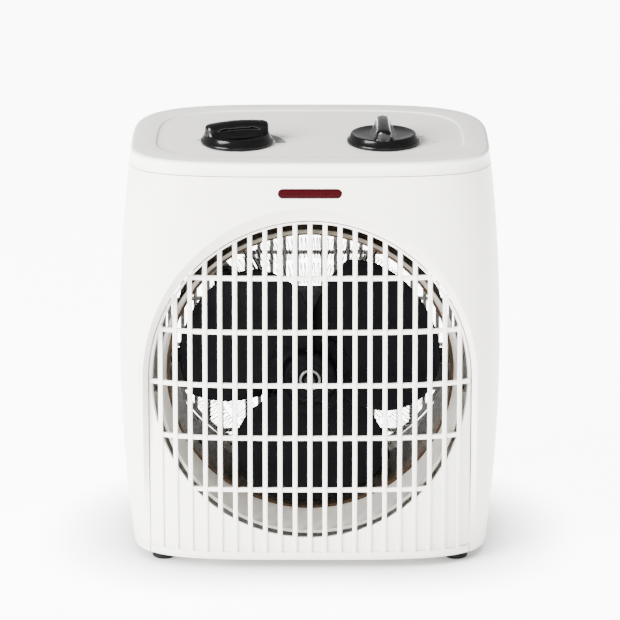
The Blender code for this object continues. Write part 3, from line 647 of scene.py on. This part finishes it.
def front_shell_point(s, t):
    if t < BEVEL_PART:
        # On the bevel the depth eases from the grille out to the case.
        share = t / BEVEL_PART
        grow = 1 - (1 - share) ** 1.15
        x_in, z_in = arch_point(s, FOOT_R, FOOT_R)
        x_out, z_out = arch_point(s, BEVEL_HALF_WIDTH, BEVEL_RISE)
        x, z = x_in + (x_out - x_in) * grow, z_in + (z_out - z_in) * grow
        depth = recess(z) * (1 - ease(share) * 0.35 - share * 0.65)
        return Vector((x, face_y(x, z) + depth, z))
    share = ((t - BEVEL_PART) / (1 - BEVEL_PART)) ** 1.3
    x, z = arch_point(s, BEVEL_HALF_WIDTH, BEVEL_RISE)
    start = plan_angle(x, z)
    end, end_z = shell_border(s)
    return plan_point(start + (end - start) * share, z + (end_z - z) * share)


front_shell = sheet("front_case_shell", ARCH_COLUMNS, ARCH_ROWS, front_shell_point)
apply_modifier(front_shell, "SOLIDIFY", thickness=2.2 * MM, offset=-1.0, use_even_offset=False)

# %% [markdown]
# A level slot with round ends is cut through the shell for the lamp window.

# %% Lamp slot
LENS_Z = sum(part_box("lamp_lens")[end].z for end in (0, 1)) / 2
LENS_STRAIGHT, LENS_R = 14.6 * MM, 2.4 * MM


def slot_outline(s, radius):
    """x and z on a level slot with round ends, at the height of the lamp window."""
    part, share = divmod(4 * (s % 1.0), 1)
    if part in (1, 3):
        way = 2 - part
        return way * LENS_STRAIGHT * (1 - 2 * share), LENS_Z + way * radius
    way = 1 - part
    turn = math.pi * (share - 0.5)
    return way * (LENS_STRAIGHT + radius * math.cos(turn)), LENS_Z + way * radius * math.sin(turn)


def slot_cutter_point(s, t):
    x, z = slot_outline(s, LENS_R + GAP)
    return Vector((x, FRONT_Y + 20 * MM * t, z))


def cut(piece, cutter):
    apply_modifier(piece, "BOOLEAN", operation="DIFFERENCE", object=cutter, solver="EXACT")
    bpy.data.objects.remove(cutter)


cut(front_shell, sheet("slot_cutter", 64, 1, slot_cutter_point, closed=True, capped=True))
print("slot cut at height", LENS_Z)


# %% Floor of the front half
def slab(name, outline, low, high):
    """A flat plate: an outline of (x, y) extruded between two heights."""
    count = len(outline)

    def place(s, t):
        x, y = outline[round(s * count) % count]
        return Vector((x, y, low + (high - low) * t))

    return sheet(name, count, 1, place, closed=True, capped=True)


def floor_outline(front):
    points = []
    for step in range(61):
        if front:
            angle = split_angle(BASE_Z, -1) + (math.pi + 2 * split_angle(BASE_Z, 1)) * step / 60
        else:
            angle = split_angle(BASE_Z, 1) + (math.pi - 2 * split_angle(BASE_Z, 1)) * step / 60
        point = plan_point(angle, BASE_Z, WALL * 0.8)
        y = min(point.y, SPLIT_Y - GAP / 2) if front else max(point.y, SPLIT_Y + GAP / 2)
        points.append((point.x, max(y, face_y(point.x, BASE_Z) + 3.4 * MM) if front else y))
    return points


front_floor = slab("front_floor", floor_outline(True), BASE_Z, BASE_Z + WALL)
front_case = join("front_case_shell", front_shell, front_floor)
finish_piece(front_case, white, "case", "white_plastic", "front_housing", angle=40.0)


# %% [markdown]
# ## Rear of the case
# The rear half is the same kind of shell round a round intake hole. Its grid spreads from the hole to
# the seam, the splits and the base. Four deep wells let a screwdriver reach the screws that hold the
# two halves, so the wells are cut out and given their tubes.

# %% Rear shell
INTAKE_HOLE_R = 87.3 * MM
WELL_R = 4.1 * MM


def rear_border(s):
    """The plan angle and height of the rear shell's edge, once round from the lower right corner."""
    side, share = divmod(s * 4, 1)
    side = int(side) % 4
    if side == 0:
        z = BASE_Z + (SEAM_Z - BASE_Z) * share
        return split_angle(z, 1), z
    if side == 2:
        z = SEAM_Z + (BASE_Z - SEAM_Z) * share
        return split_angle(z, -1), z
    z = SEAM_Z if side == 1 else BASE_Z
    start, end = split_angle(z, 1), split_angle(z, -1)
    return (start + (end - start) * share if side == 1 else end + (start - end) * share), z


def rear_shell_point(s, t):
    around = 2 * math.pi * (s - 0.125)
    x, z = INTAKE_HOLE_R * math.cos(around), AXIS_Z + INTAKE_HOLE_R * math.sin(around)
    start = math.atan2(face_y(x, z, False) - WIDEST_Y, x)
    end, end_z = rear_border(s)
    return plan_point(start + (end - start) * t, z + (end_z - z) * t)


rear_shell = sheet("rear_shell", 240, 44, rear_shell_point, closed=True)
apply_modifier(rear_shell, "SOLIDIFY", thickness=2.2 * MM, offset=-1.0)
rear_floor = slab("rear_floor", floor_outline(False), BASE_Z, BASE_Z + WALL)


def ring_about_y(name, profile, x=0.0, z=0.0, columns=48, closed=True):
    """A profile of (radius, y) turned about the line through x and z that runs along Y."""
    rows = len(profile) if closed else len(profile) - 1

    def place(s, t):
        radius, y = profile[round(t * rows) % len(profile)]
        around = 2 * math.pi * s
        return Vector((x + radius * math.cos(around), y, z + radius * math.sin(around)))

    return sheet(name, columns, rows, place, closed=True)


tubes = []
for number, name in enumerate(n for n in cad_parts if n.startswith("case_screw")):
    low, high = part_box(name)
    x, z = (low.x + high.x) / 2, (low.z + high.z) / 2
    bpy.ops.object.select_all(action="DESELECT")
    bpy.ops.mesh.primitive_cylinder_add(
        vertices=40, radius=WELL_R, depth=0.08, location=(x, 0.064, z), rotation=(math.pi / 2, 0, 0)
    )
    cut(rear_shell, bpy.context.object)
    rim_y = min(face_y(x + dx, z, False) for dx in (-0.005, 0.005)) - 0.6 * MM
    profile = [(WELL_R, 0.022), (WELL_R, rim_y), (WELL_R + 1.2 * MM, rim_y), (WELL_R + 1.2 * MM, 0.022)]
    tubes.append(ring_about_y(f"well_{number}", profile, x, z, 40))
rear_case = join("rear_case_shell", rear_shell, rear_floor, *tubes)
finish_piece(rear_case, white, "case", "white_plastic", "rear_housing", angle=40.0)

# %% [markdown]
# ## Control panel
# The lid is one moulding too: a wall that carries on the barrel, a softly rounded rim, and a panel
# that is sunk by half a millimetre inside a border. It is made as rings, from the middle of its
# underside out, down and round the wall, and back over the top to the middle.

# %% Top cap
BORDER, PANEL_SINK, PANEL_T = 14.0 * MM, 0.6 * MM, 2.8 * MM


def cap_ring(angle, inset, drop, shrink=1.0):
    point = plan_point(angle, TOP_FRONT_Z, inset)
    x, y = point.x * shrink, WIDEST_Y + (point.y - WIDEST_Y) * shrink
    return Vector((x, y, panel_z(y) - drop))


def cap_rows():
    rows = [lambda a, k=k: cap_ring(a, WALL, PANEL_T, k) for k in (0.0, 0.5, 0.9, 1.0)]
    rows.append(lambda a: plan_point(a, SEAM_Z + GAP, WALL))
    rows.append(lambda a: plan_point(a, SEAM_Z + GAP, 0.25 * MM))
    rows.append(lambda a: plan_point(a, SEAM_Z + GAP + 0.25 * MM))
    rows.append(lambda a: cap_ring(a, 0.0, 5.0 * MM))
    rim = 2.0 * MM
    for step in range(8):
        turn = math.pi / 2 * step / 7
        inset, drop = rim * (1 - math.cos(turn)), rim * (1 - math.sin(turn))
        rows.append(lambda a, inset=inset, drop=drop: cap_ring(a, inset, drop))
    for inset, drop in ((8.0, 0.0), (13.4, 0.0), (13.8, 0.05), (14.2, 0.3), (14.6, 0.55), (15.0, 0.6)):
        rows.append(lambda a, inset=inset, drop=drop: cap_ring(a, inset * MM, drop * MM))
    for shrink in (0.95, 0.7, 0.4, 0.0):
        rows.append(lambda a, k=shrink: cap_ring(a, 15.0 * MM, PANEL_SINK, k))
    return rows


CAP_ROWS = cap_rows()
top_cap = sheet(
    "control_panel",
    200,
    len(CAP_ROWS) - 1,
    lambda s, t: CAP_ROWS[round(t * (len(CAP_ROWS) - 1))](2 * math.pi * s),
    closed=True,
)
finish_piece(top_cap, white_panel, "case", "white_plastic", "top_cap", angle=50.0)

# %% [markdown]
# ## Grilles
# A finger guard is a rim, upright bars and a few crossbars behind them. One bar is a rounded section
# swept along the barrel's surface, and each copy has its own height from the circle of the opening.
# Under the front opening a closed panel carries the bars on as ribs, down to a plain band.


# %% Bars
def rounded_section(wide, deep, radius, corner_steps=3):
    """Points of a rounded rectangle: (across, back), with its front at back = 0."""
    points = []
    for corner_x, corner_y, turn in ((1, 1, 0), (-1, 1, 90), (-1, -1, 180), (1, -1, 270)):
        for step in range(corner_steps + 1):
            angle = math.radians(turn + 90 * step / corner_steps)
            x = corner_x * (wide / 2 - radius) + radius * math.cos(angle)
            y = corner_y * (deep / 2 - radius) + radius * math.sin(angle)
            points.append((x, y + deep / 2))
    return points


def bar(name, section, start, end, steps, lay):
    """Sweeps a section from start to end. lay(across, back, along) gives each point."""
    count = len(section)

    def place(s, t):
        across, back = section[round(s * count) % count]
        return lay(across, back, start + (end - start) * t)

    return sheet(name, count, steps, place, closed=True, capped=True)


def guard(surface, sign, pitch, width, each_side, radius, low_z, cross_heights, overlap):
    """The bars and crossbars of one guard. surface(x, z) is its face, and sign is 1 at the front."""
    upright = rounded_section(width, 2.6 * MM, 0.55 * MM)
    level = rounded_section(width, 2.0 * MM, 0.5 * MM)
    made = []
    for number in range(-each_side, each_side + 1):
        x = number * pitch
        reach = math.sqrt(radius**2 - x**2) + overlap
        low = low_z if low_z else AXIS_Z - reach

        def lay_upright(across, back, z, x=x):
            return Vector((x + across, surface(x + across, z) + sign * back, z))

        made.append(bar(f"bar_{number + each_side}", upright, low, AXIS_Z + reach, 40, lay_upright))
    for number, z in enumerate(cross_heights):
        reach = math.sqrt(radius**2 - (z - AXIS_Z) ** 2) + overlap

        def lay_level(across, back, x, z=z):
            return Vector((x, surface(x, z + across) + sign * (back + 0.5 * MM), z + across))

        made.append(bar(f"crossbar_{number}", level, -reach, reach, 60, lay_level))
    return made


# %% Front grille
OPENING_R = 86.8 * MM
PLATE_R = FOOT_R - 0.5 * MM
BAR_PITCH, BAR_W, BARS_EACH_SIDE = 8.16 * MM, 2.5 * MM, 10
CROSSBAR_Z = [(45.3 + 29.15 * row) * MM for row in range(5)]
PANEL_BACK = 1.1 * MM
BAND_TOP = RECESS_START_Z
BAR_OVERLAP = 0.8 * MM  # how far a bar runs into the rim round the opening


def panel_point(s, t):
    """Between the opening and the plate's outline, which is square below the fan axis."""
    corner = math.atan2(AXIS_Z - BAND_TOP, PLATE_R)
    around = math.pi * 2 * s
    if around > math.pi:
        # The columns are shared out so that one falls on each lower corner.
        part = (around - math.pi) / math.pi
        if part < 0.25:
            around = math.pi + corner * part / 0.25
        elif part > 0.75:
            around = 2 * math.pi - corner * (1 - part) / 0.25
        else:
            around = math.pi + corner + (math.pi - 2 * corner) * (part - 0.25) / 0.5
    outer = PLATE_R
    if around > math.pi:
        across, down = abs(math.cos(around)), abs(math.sin(around))
        outer = min(PLATE_R / max(across, 1e-6), (AXIS_Z - BAND_TOP) / max(down, 1e-6))
    radius = OPENING_R + (outer - OPENING_R) * t
    x, z = radius * math.cos(around), AXIS_Z + radius * math.sin(around)
    back = PANEL_BACK if z < AXIS_Z else PANEL_BACK * max(0.0, 1 - (z - AXIS_Z) / (20 * MM))
    return Vector((x, grille_y(x, z) + back, z))


panel = sheet("panel", 320, 14, panel_point, closed=True)
apply_modifier(panel, "SOLIDIFY", thickness=1.7 * MM, offset=-1.0)


def band_point(s, t):
    """The plain band: its underside, its face, and the lip that leads back to the ribs."""
    x = PLATE_R * (2 * s - 1)
    rows = [(BASE_Z, 2.8), (BASE_Z, 0.25), (BASE_Z + 0.25 * MM, 0.0), (BAND_TOP - 0.3 * MM, 0.0)]
    rows += [(BAND_TOP, 0.3), (BAND_TOP + 0.2 * MM, 2.8)]
    z, back = rows[round(t * (len(rows) - 1))]
    return Vector((x, grille_y(x, min(z, BAND_TOP)) + back * MM, z))


band = sheet("band", 120, 5, band_point)
apply_modifier(band, "SOLIDIFY", thickness=0.8 * MM, offset=-1.0)
front_bars = guard(
    grille_y, 1, BAR_PITCH, BAR_W, BARS_EACH_SIDE, OPENING_R, BAND_TOP - 0.3 * MM, CROSSBAR_Z, BAR_OVERLAP
)
front_grille = join("outlet_grille", panel, band, *front_bars)
finish_piece(front_grille, white, "case", "white_plastic", "front_grille", angle=50.0)

# %% Intake grille
INTAKE_R, INTAKE_PLATE_R = 84.0 * MM, 86.9 * MM
INTAKE_CROSS = [AXIS_Z + (step + 0.5) * 26.7 * MM for step in range(-3, 3)]
INTAKE_PITCH, INTAKE_BAR_W, INTAKE_BARS_EACH_SIDE = 7.35 * MM, 2.3 * MM, 11


def intake_y(x, z):
    return face_y(x, z, False)


def intake_rim(s, t):
    around = 2 * math.pi * s
    radius = INTAKE_R + (INTAKE_PLATE_R - INTAKE_R) * t
    x, z = radius * math.cos(around), AXIS_Z + radius * math.sin(around)
    return Vector((x, intake_y(x, z), z))


rim = sheet("rim", 160, 3, intake_rim, closed=True)
apply_modifier(rim, "SOLIDIFY", thickness=2.2 * MM, offset=-1.0)
rear_bars = guard(
    intake_y, -1, INTAKE_PITCH, INTAKE_BAR_W, INTAKE_BARS_EACH_SIDE, INTAKE_R, None, INTAKE_CROSS, BAR_OVERLAP
)
intake_grille = join("intake_guard", rim, *rear_bars)
finish_piece(intake_grille, white, "case", "white_plastic", "intake_grille", angle=50.0)

# %% [markdown]
# ## Lamp window
# The window is one clear red moulding that is pushed through its slot from inside, up to a flange. Its
# rows run from the middle of the face outwards over a rounded edge, back along the side, and round the
# flange, so the face follows the barrel.

# %% Lamp window
LENS_ROWS = (
    (0.0, 0.5), (1.4, 0.5), (1.95, 0.54), (2.25, 0.7), (2.4, 1.0),
    (2.4, 3.4), (3.9, 3.4), (3.9, 4.6), (0.0, 4.6),
)


def lens_point(s, t):
    radius, back = LENS_ROWS[round(t * (len(LENS_ROWS) - 1))]
    x, z = slot_outline(s, radius * MM)
    return Vector((x, face_y(x, z) + back * MM, z))


lens = sheet("lamp_window", 96, len(LENS_ROWS) - 1, lens_point, closed=True)
finish_piece(lens, red, "case", "red_lens", "lamp_lens", angle=50.0)

# %% [markdown]
# ## Knobs
# Each knob is a turned skirt with a dished top, and a finger bar across it. The bar is a section
# carried along its length: its feet flare into the dish, its ends are round, its top is arched, and a
# long shallow scoop in each flank gives the fingers a hold. A small raised dot marks the pointing end.


# %% Knobs
def turned(name, profile, place, columns=64):
    """A closed profile of (radius, height) turned about the Z axis of a place."""
    rows = len(profile)

    def lay(s, t):
        radius, height = profile[round(t * rows) % rows]
        around = 2 * math.pi * s
        return place @ Vector((radius * math.cos(around), radius * math.sin(around), height))

    return sheet(name, columns, rows, lay, closed=True)


def scaled(pairs):
    return [(first * MM, second * MM) for first, second in pairs]


KNOB_PROFILE = scaled((
    (3.3, -0.2), (19.6, -0.2), (19.9, 0.1), (19.9, 1.2), (19.75, 1.6), (19.4, 1.8), (18.9, 2.1),
    (17.95, 4.5), (17.65, 4.95), (17.2, 5.15), (16.6, 5.1), (15.6, 4.8), (13.5, 4.3), (11.0, 4.05),
    (8.0, 4.0), (3.3, 4.0),
))
DOT_PROFILE = scaled(((0.0, 0.0), (0.55, 0.0), (0.55, 0.3), (0.0, 0.32)))
KNOB_X, KNOB_Y = 40.0 * MM, -16.0 * MM
BAR_HALF, BAR_TOP, BAR_FOOT = 17.9 * MM, 12.0 * MM, 3.3 * MM
FLARE_TOP, FLARE = 10.0 * MM, 5.5 * MM  # where the fillet into the dish starts, and its reach
SCOOP_Z, SCOOP_HALF_HEIGHT, SCOOP_DEPTH = 6.7 * MM, 1.9 * MM, 1.0 * MM
EDGE_R = 3.4 * MM
SIDE_LEVELS, CROWN_STEPS, BAR_ROWS = 14, 6, 56


def bar_half_width(along, height):
    """Half the thickness of the finger bar. along runs from -1 to 1 over its length."""
    plain = (3.7 + 0.7 * along**2) * MM
    flare = FLARE * max(0.0, (FLARE_TOP - height) / (FLARE_TOP - BAR_FOOT)) ** 3 * (1 - 0.5 * along**2)
    hollow = max(0.0, 1 - (along / 0.68) ** 2 - ((height - SCOOP_Z) / SCOOP_HALF_HEIGHT) ** 2)
    tip = max(0.0, (abs(along) - 0.80) / 0.20)
    return (plain + flare - SCOOP_DEPTH * hollow**0.6) * math.sqrt(max(0.0, 1 - tip**2))


def bar_section(along):
    """Half of a section, from its foot to the middle of its top, as (half width, height)."""
    tip = max(0.0, (abs(along) - 0.86) / 0.14)
    top = BAR_TOP - 1.5 * MM * along**2 - 0.9 * MM * tip**2
    shoulder = top - EDGE_R
    points = []
    for level in range(SIDE_LEVELS):
        height = BAR_FOOT + (shoulder - BAR_FOOT) * level / (SIDE_LEVELS - 1)
        points.append((bar_half_width(along, height), height))
    wide = points[-1][0]
    for step in range(1, CROWN_STEPS + 1):
        turn = math.pi / 2 * step / CROWN_STEPS
        points.append((wide * max(0.0, math.cos(turn)) ** 0.75, shoulder + EDGE_R * math.sin(turn)))
    return points


def knob_place(side):
    """The frame of a knob: on the panel, with Z square to it. side is -1 on the left."""
    centre = (side * KNOB_X, KNOB_Y, panel_z(KNOB_Y))
    return Matrix.Translation(centre) @ Matrix.Rotation(PANEL_SLOPE, 4, "X")


def make_knob(name, side, turn, body, node):
    place = knob_place(side)
    skirt = turned("skirt", KNOB_PROFILE, place, 96)
    across = place @ Matrix.Rotation(math.radians(turn), 4, "Z")
    half_count = SIDE_LEVELS + CROWN_STEPS - 1

    def bar_point(s, t):
        along = math.sin(math.pi * (t - 0.5))
        section = bar_section(along)
        number = round(s * 2 * half_count) % (2 * half_count)
        wide, height = section[number] if number <= half_count else section[2 * half_count - number]
        return across @ Vector((BAR_HALF * along, wide if number <= half_count else -wide, height))

    grip = sheet("grip", 2 * half_count, BAR_ROWS, bar_point, closed=True)
    knob = join(name, skirt, grip)
    finish_piece(knob, knob_black, body, "gloss_black", node, angle=48.0)
    tip_place = across @ Matrix.Translation((0.78 * BAR_HALF, 0, BAR_TOP - 1.1 * MM))
    mark = turned("dot", DOT_PROFILE, tip_place, 20)
    mark.name = f"{name}_dot"
    finish_piece(mark, black_part, body, "gloss_black")


make_knob("thermostat_dial", -1, 17.0, "thermostat_control", "thermostat_knob")
make_knob("selector_dial", 1, 90.0, "selector_control", "selector_knob")

# %% [markdown]
# ## Printed scales
# The marks on the panel are printed, so each is a very thin plate just proud of the panel: an arc that
# tapers as the heat setting falls, and a short dash at each setting of the other knob.


# %% Printed scale marks
def print_ink():
    """A thin coat of grey printing ink, a little uneven in cover."""
    made, shader, place = new_material("print_ink", 0.6, Specular_IOR_Level=0.2)
    cover = noise(place, 900.0, 4.0)
    feed(shader, Base_Color=blend(cover, (0.13, 0.13, 0.125), (0.20, 0.20, 0.195)))
    return made


print_grey = print_ink()
PRINT_LIFT, PRINT_T = 0.03 * MM, 0.02 * MM
DASH_LENGTH, DASH_WIDTH = 2.8 * MM, 0.7 * MM


def panel_mark(name, side, reach):
    """A printed shape on the panel, round the axis of a knob. reach(s, t) gives angle and radius."""
    place = knob_place(side)

    def lay(s, t):
        angle, radius = reach(s, t)
        height = -PANEL_SINK + PRINT_LIFT
        return place @ Vector((radius * math.cos(angle), radius * math.sin(angle), height))

    made = sheet(name, 48, 2, lay)
    apply_modifier(made, "SOLIDIFY", thickness=PRINT_T, offset=0.0)
    return made


def wedge_reach(s, t):
    inner, grow = 21.3 * MM, 5.2 * MM * (1 - s) ** 1.6
    return math.radians(-2 + 175 * s), inner + (0.5 * MM + grow) * t


wedge = panel_mark("heat_scale", -1, wedge_reach)
finish_piece(wedge, print_grey, "case", "control_plastic")
dashes = []
for angle, radius in ((4.0, 27.0), (32.0, 24.0), (60.0, 23.5), (90.0, 23.5)):
    turn_by = math.radians(angle)

    def dash_reach(s, t, turn_by=turn_by, radius=radius * MM):
        return turn_by + DASH_WIDTH / radius * (t - 0.5), radius + DASH_LENGTH * s

    dashes.append(panel_mark(f"dash_{len(dashes)}", 1, dash_reach))
setting_marks = join("setting_marks", *dashes)
finish_piece(setting_marks, print_grey, "case", "control_plastic")

# %% [markdown]
# ## Fan
# The fan is one moulding with three broad petals. A petal is a twisted grid given its thickness, and
# the hub is a turned cup whose foot spreads out into the petals.

# %% Fan
FAN_R, BLADE_ROOT, BLADE_Y = 73.6 * MM, 12.0 * MM, -43.0 * MM
ABOUT_FAN = Matrix.Translation((0, 0, AXIS_Z)) @ Matrix.Rotation(-math.pi / 2, 4, "X")
HUB_PROFILE = scaled((
    (3.4, -54.0), (9.0, -54.0), (9.4, -53.6), (10.4, -53.6), (10.8, -54.0), (12.6, -54.0), (14.1, -53.4),
    (14.9, -52.0), (15.1, -49.5), (15.6, -47.6), (17.5, -46.2), (21.0, -45.6), (22.6, -45.0),
    (22.6, -42.6), (15.0, -42.0), (15.0, -38.0), (3.4, -38.0),
))


def petal(number):
    """One petal: s runs from its leading to its trailing edge, and t from the root to the tip."""
    centre = math.radians(30 + 120 * number)

    def lay(s, t):
        across = 2 * s - 1
        half_angle = math.radians(63 - 27 * t**2.6 if across < 0 else 60 - 18 * t**1.8)
        tip = FAN_R * (1 - 0.10 * abs(across) ** 3)
        radius = BLADE_ROOT + (tip - BLADE_ROOT) * t
        angle = centre + across * half_angle
        y = BLADE_Y + across * (9.0 + 5.0 * t) / 2 * MM
        return Vector((radius * math.cos(angle), y, AXIS_Z + radius * math.sin(angle)))

    made = sheet(f"petal_{number}", 36, 24, lay)
    apply_modifier(made, "SOLIDIFY", thickness=1.6 * MM, offset=0.0)
    apply_modifier(
        made, "BEVEL", width=0.5 * MM, segments=2, limit_method="ANGLE", angle_limit=math.radians(50)
    )
    return made


hub = turned("hub", HUB_PROFILE, ABOUT_FAN)
fan = join("fan_moulding", hub, *[petal(number) for number in range(3)])
finish_piece(fan, fan_black, "fan_assembly", "fan_black", "fan", angle=40.0)

# %% Shaft clip
CLIP_PROFILE = scaled((
    (4.4, -54.4), (5.9, -54.4), (5.95, -55.0), (5.6, -55.45), (5.1, -55.6), (4.6, -55.4), (4.3, -54.9)
))
clip = turned("shaft_clip", CLIP_PROFILE, ABOUT_FAN)
finish_piece(clip, plated, "fan_assembly", "steel", "fan_clip", angle=50.0)

# %% [markdown]
# ## Heating element
# Thin wire is wound into a long spring, and the spring is laid in a circle through holes in the mica
# boards. One grid makes the whole wire: its columns run round the wire and its rows along the winding.
# The turns are never quite even, so each is moved a little forward or back by a random amount.

# %% Coils
random.seed(7)
UNEVEN = 0.35  # the most that a turn is out of place, as a share of the pitch
COIL_Y, COIL_RADIAL, COIL_AXIAL, WIRE_R = -8.0 * MM, 5.9 * MM, 5.7 * MM, 0.24 * MM
STEPS_A_TURN, WIRE_SIDES = 14, 5


def coil(name, ring_r, turns, node):
    lean = [random.uniform(-UNEVEN, UNEVEN) for _ in range(turns + 1)]
    steps = turns * STEPS_A_TURN

    def centre(step):
        turn, share = divmod(step / STEPS_A_TURN, 1)
        first = lean[int(turn) % turns]
        second = lean[(int(turn) + 1) % turns]
        drift = first + (second - first) * share
        around = 2 * math.pi * (step / STEPS_A_TURN + drift) / turns
        wound = 2 * math.pi * share
        radius = ring_r + COIL_RADIAL * math.cos(wound)
        y = COIL_Y + COIL_AXIAL * math.sin(wound)
        return Vector((radius * math.cos(around), y, AXIS_Z + radius * math.sin(around)))

    def lay(s, t):
        step = round(t * steps) % steps
        here = centre(step)
        along = (centre(step + 1) - centre(step - 1)).normalized()
        hub_way = Vector((here.x, 0, here.z - AXIS_Z)).normalized()
        across = along.cross(hub_way).normalized()
        turn = 2 * math.pi * s
        return here + WIRE_R * (math.cos(turn) * across + math.sin(turn) * along.cross(across))

    made = sheet(name, WIRE_SIDES, steps, lay, closed=True)
    finish_piece(made, wire, "case", "resistance_wire", node, angle=60.0)


coil("inner_spiral", 48.0 * MM, 143, "inner_heating_coil")
coil("outer_spiral", 62.5 * MM, 187, "outer_heating_coil")

# %% [markdown]
# ## Duct and mica tube
# The duct leads the air from the grille round the fan. It narrows towards the rear, and its front edge
# leans with the grille. A lug stands on each side of it, level with the motor support. Behind it is
# the mica tube, which keeps the heat of the coils from the case and has one round hole in its wall.

# %% Duct and mica tube
DUCT_REAR, MICA_R = -39.0 * MM, 79.0 * MM
DUCT_FRONT, DUCT_FRONT_R = grille_y(0, BASE_Z + 8 * MM) - 2 * MM, 85.0 * MM
BEHIND_GRILLE = 4.9 * MM
LUG_X, LUG_SIZE = 88.5 * MM, (17.0 * MM, 5.0 * MM, 14.0 * MM)
HOLE_ANGLE, HOLE_Y, HOLE_R = math.radians(217.0), -16.0 * MM, 3.4 * MM


def cone_r(y):
    return MICA_R + (DUCT_FRONT_R - MICA_R) * (y - DUCT_REAR) / (DUCT_FRONT - DUCT_REAR)


def duct_point(s, t):
    """The duct is a cone whose front edge follows the leaning grille."""
    around = 2 * math.pi * s
    front = DUCT_FRONT
    for _ in range(4):
        radius = cone_r(front)
        x, z = radius * math.cos(around), AXIS_Z + radius * math.sin(around)
        front = grille_y(x, z) + BEHIND_GRILLE
    y = front + (DUCT_REAR - front) * t
    return Vector((cone_r(y) * math.cos(around), y, AXIS_Z + cone_r(y) * math.sin(around)))


duct = sheet("air_duct", 144, 8, duct_point, closed=True)
apply_modifier(duct, "SOLIDIFY", thickness=1.8 * MM, offset=1.0)
lugs = []
support = [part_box("motor_support")[end].z for end in (0, 1)]
for side in (-1, 1):
    bpy.ops.object.select_all(action="DESELECT")
    place = (side * LUG_X, DUCT_REAR - 2.5 * MM, sum(support) / 2)
    bpy.ops.mesh.primitive_cube_add(size=1.0, location=place)
    lug = bpy.context.object
    lug.scale = LUG_SIZE
    lugs.append(lug)
duct = join("air_duct", duct, *lugs)
finish_piece(duct, duct_white, "case", "duct_plastic", "duct_ring", angle=40.0)

MICA_PROFILE = scaled(((77.5, -38.7), (77.5, 13.0), (79.0, 13.0), (79.0, -38.7)))
mica_wall = turned("mica_sleeve", MICA_PROFILE, ABOUT_FAN, 144)
bpy.ops.object.select_all(action="DESELECT")
bpy.ops.mesh.primitive_cylinder_add(vertices=32, radius=HOLE_R, depth=12 * MM)
drill = bpy.context.object
across, up = 78 * MM * math.cos(HOLE_ANGLE), 78 * MM * math.sin(HOLE_ANGLE)
drill.matrix_world = (
    Matrix.Translation((across, HOLE_Y, AXIS_Z + up))
    @ Matrix.Rotation(-HOLE_ANGLE, 4, "Y")
    @ Matrix.Rotation(math.pi / 2, 4, "Y")
)
cut(mica_wall, drill)
finish_piece(mica_wall, mica, "case", "mica", "mica_tube", angle=40.0)

# %% [markdown]
# ## Feet
# Each foot is a turned rubber plug: a rounded pad, and a stem that is pushed into the base.

# %% Feet
FOOT_PROFILE = scaled((
    (0.0, 0.0), (5.2, 0.0), (5.9, 0.15), (6.35, 0.6), (6.5, 1.3), (6.4, 4.7),
    (2.6, 4.7), (2.6, 9.0), (0.0, 9.0),
))
for node in sorted(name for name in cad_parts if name.startswith("foot_")):
    low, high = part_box(node)
    place = Matrix.Translation(((low.x + high.x) / 2, (low.y + high.y) / 2, 0))
    foot = turned(f"rubber_{node}", FOOT_PROFILE, place, 40)
    finish_piece(foot, rubber, "case", "rubber", node, angle=40.0)
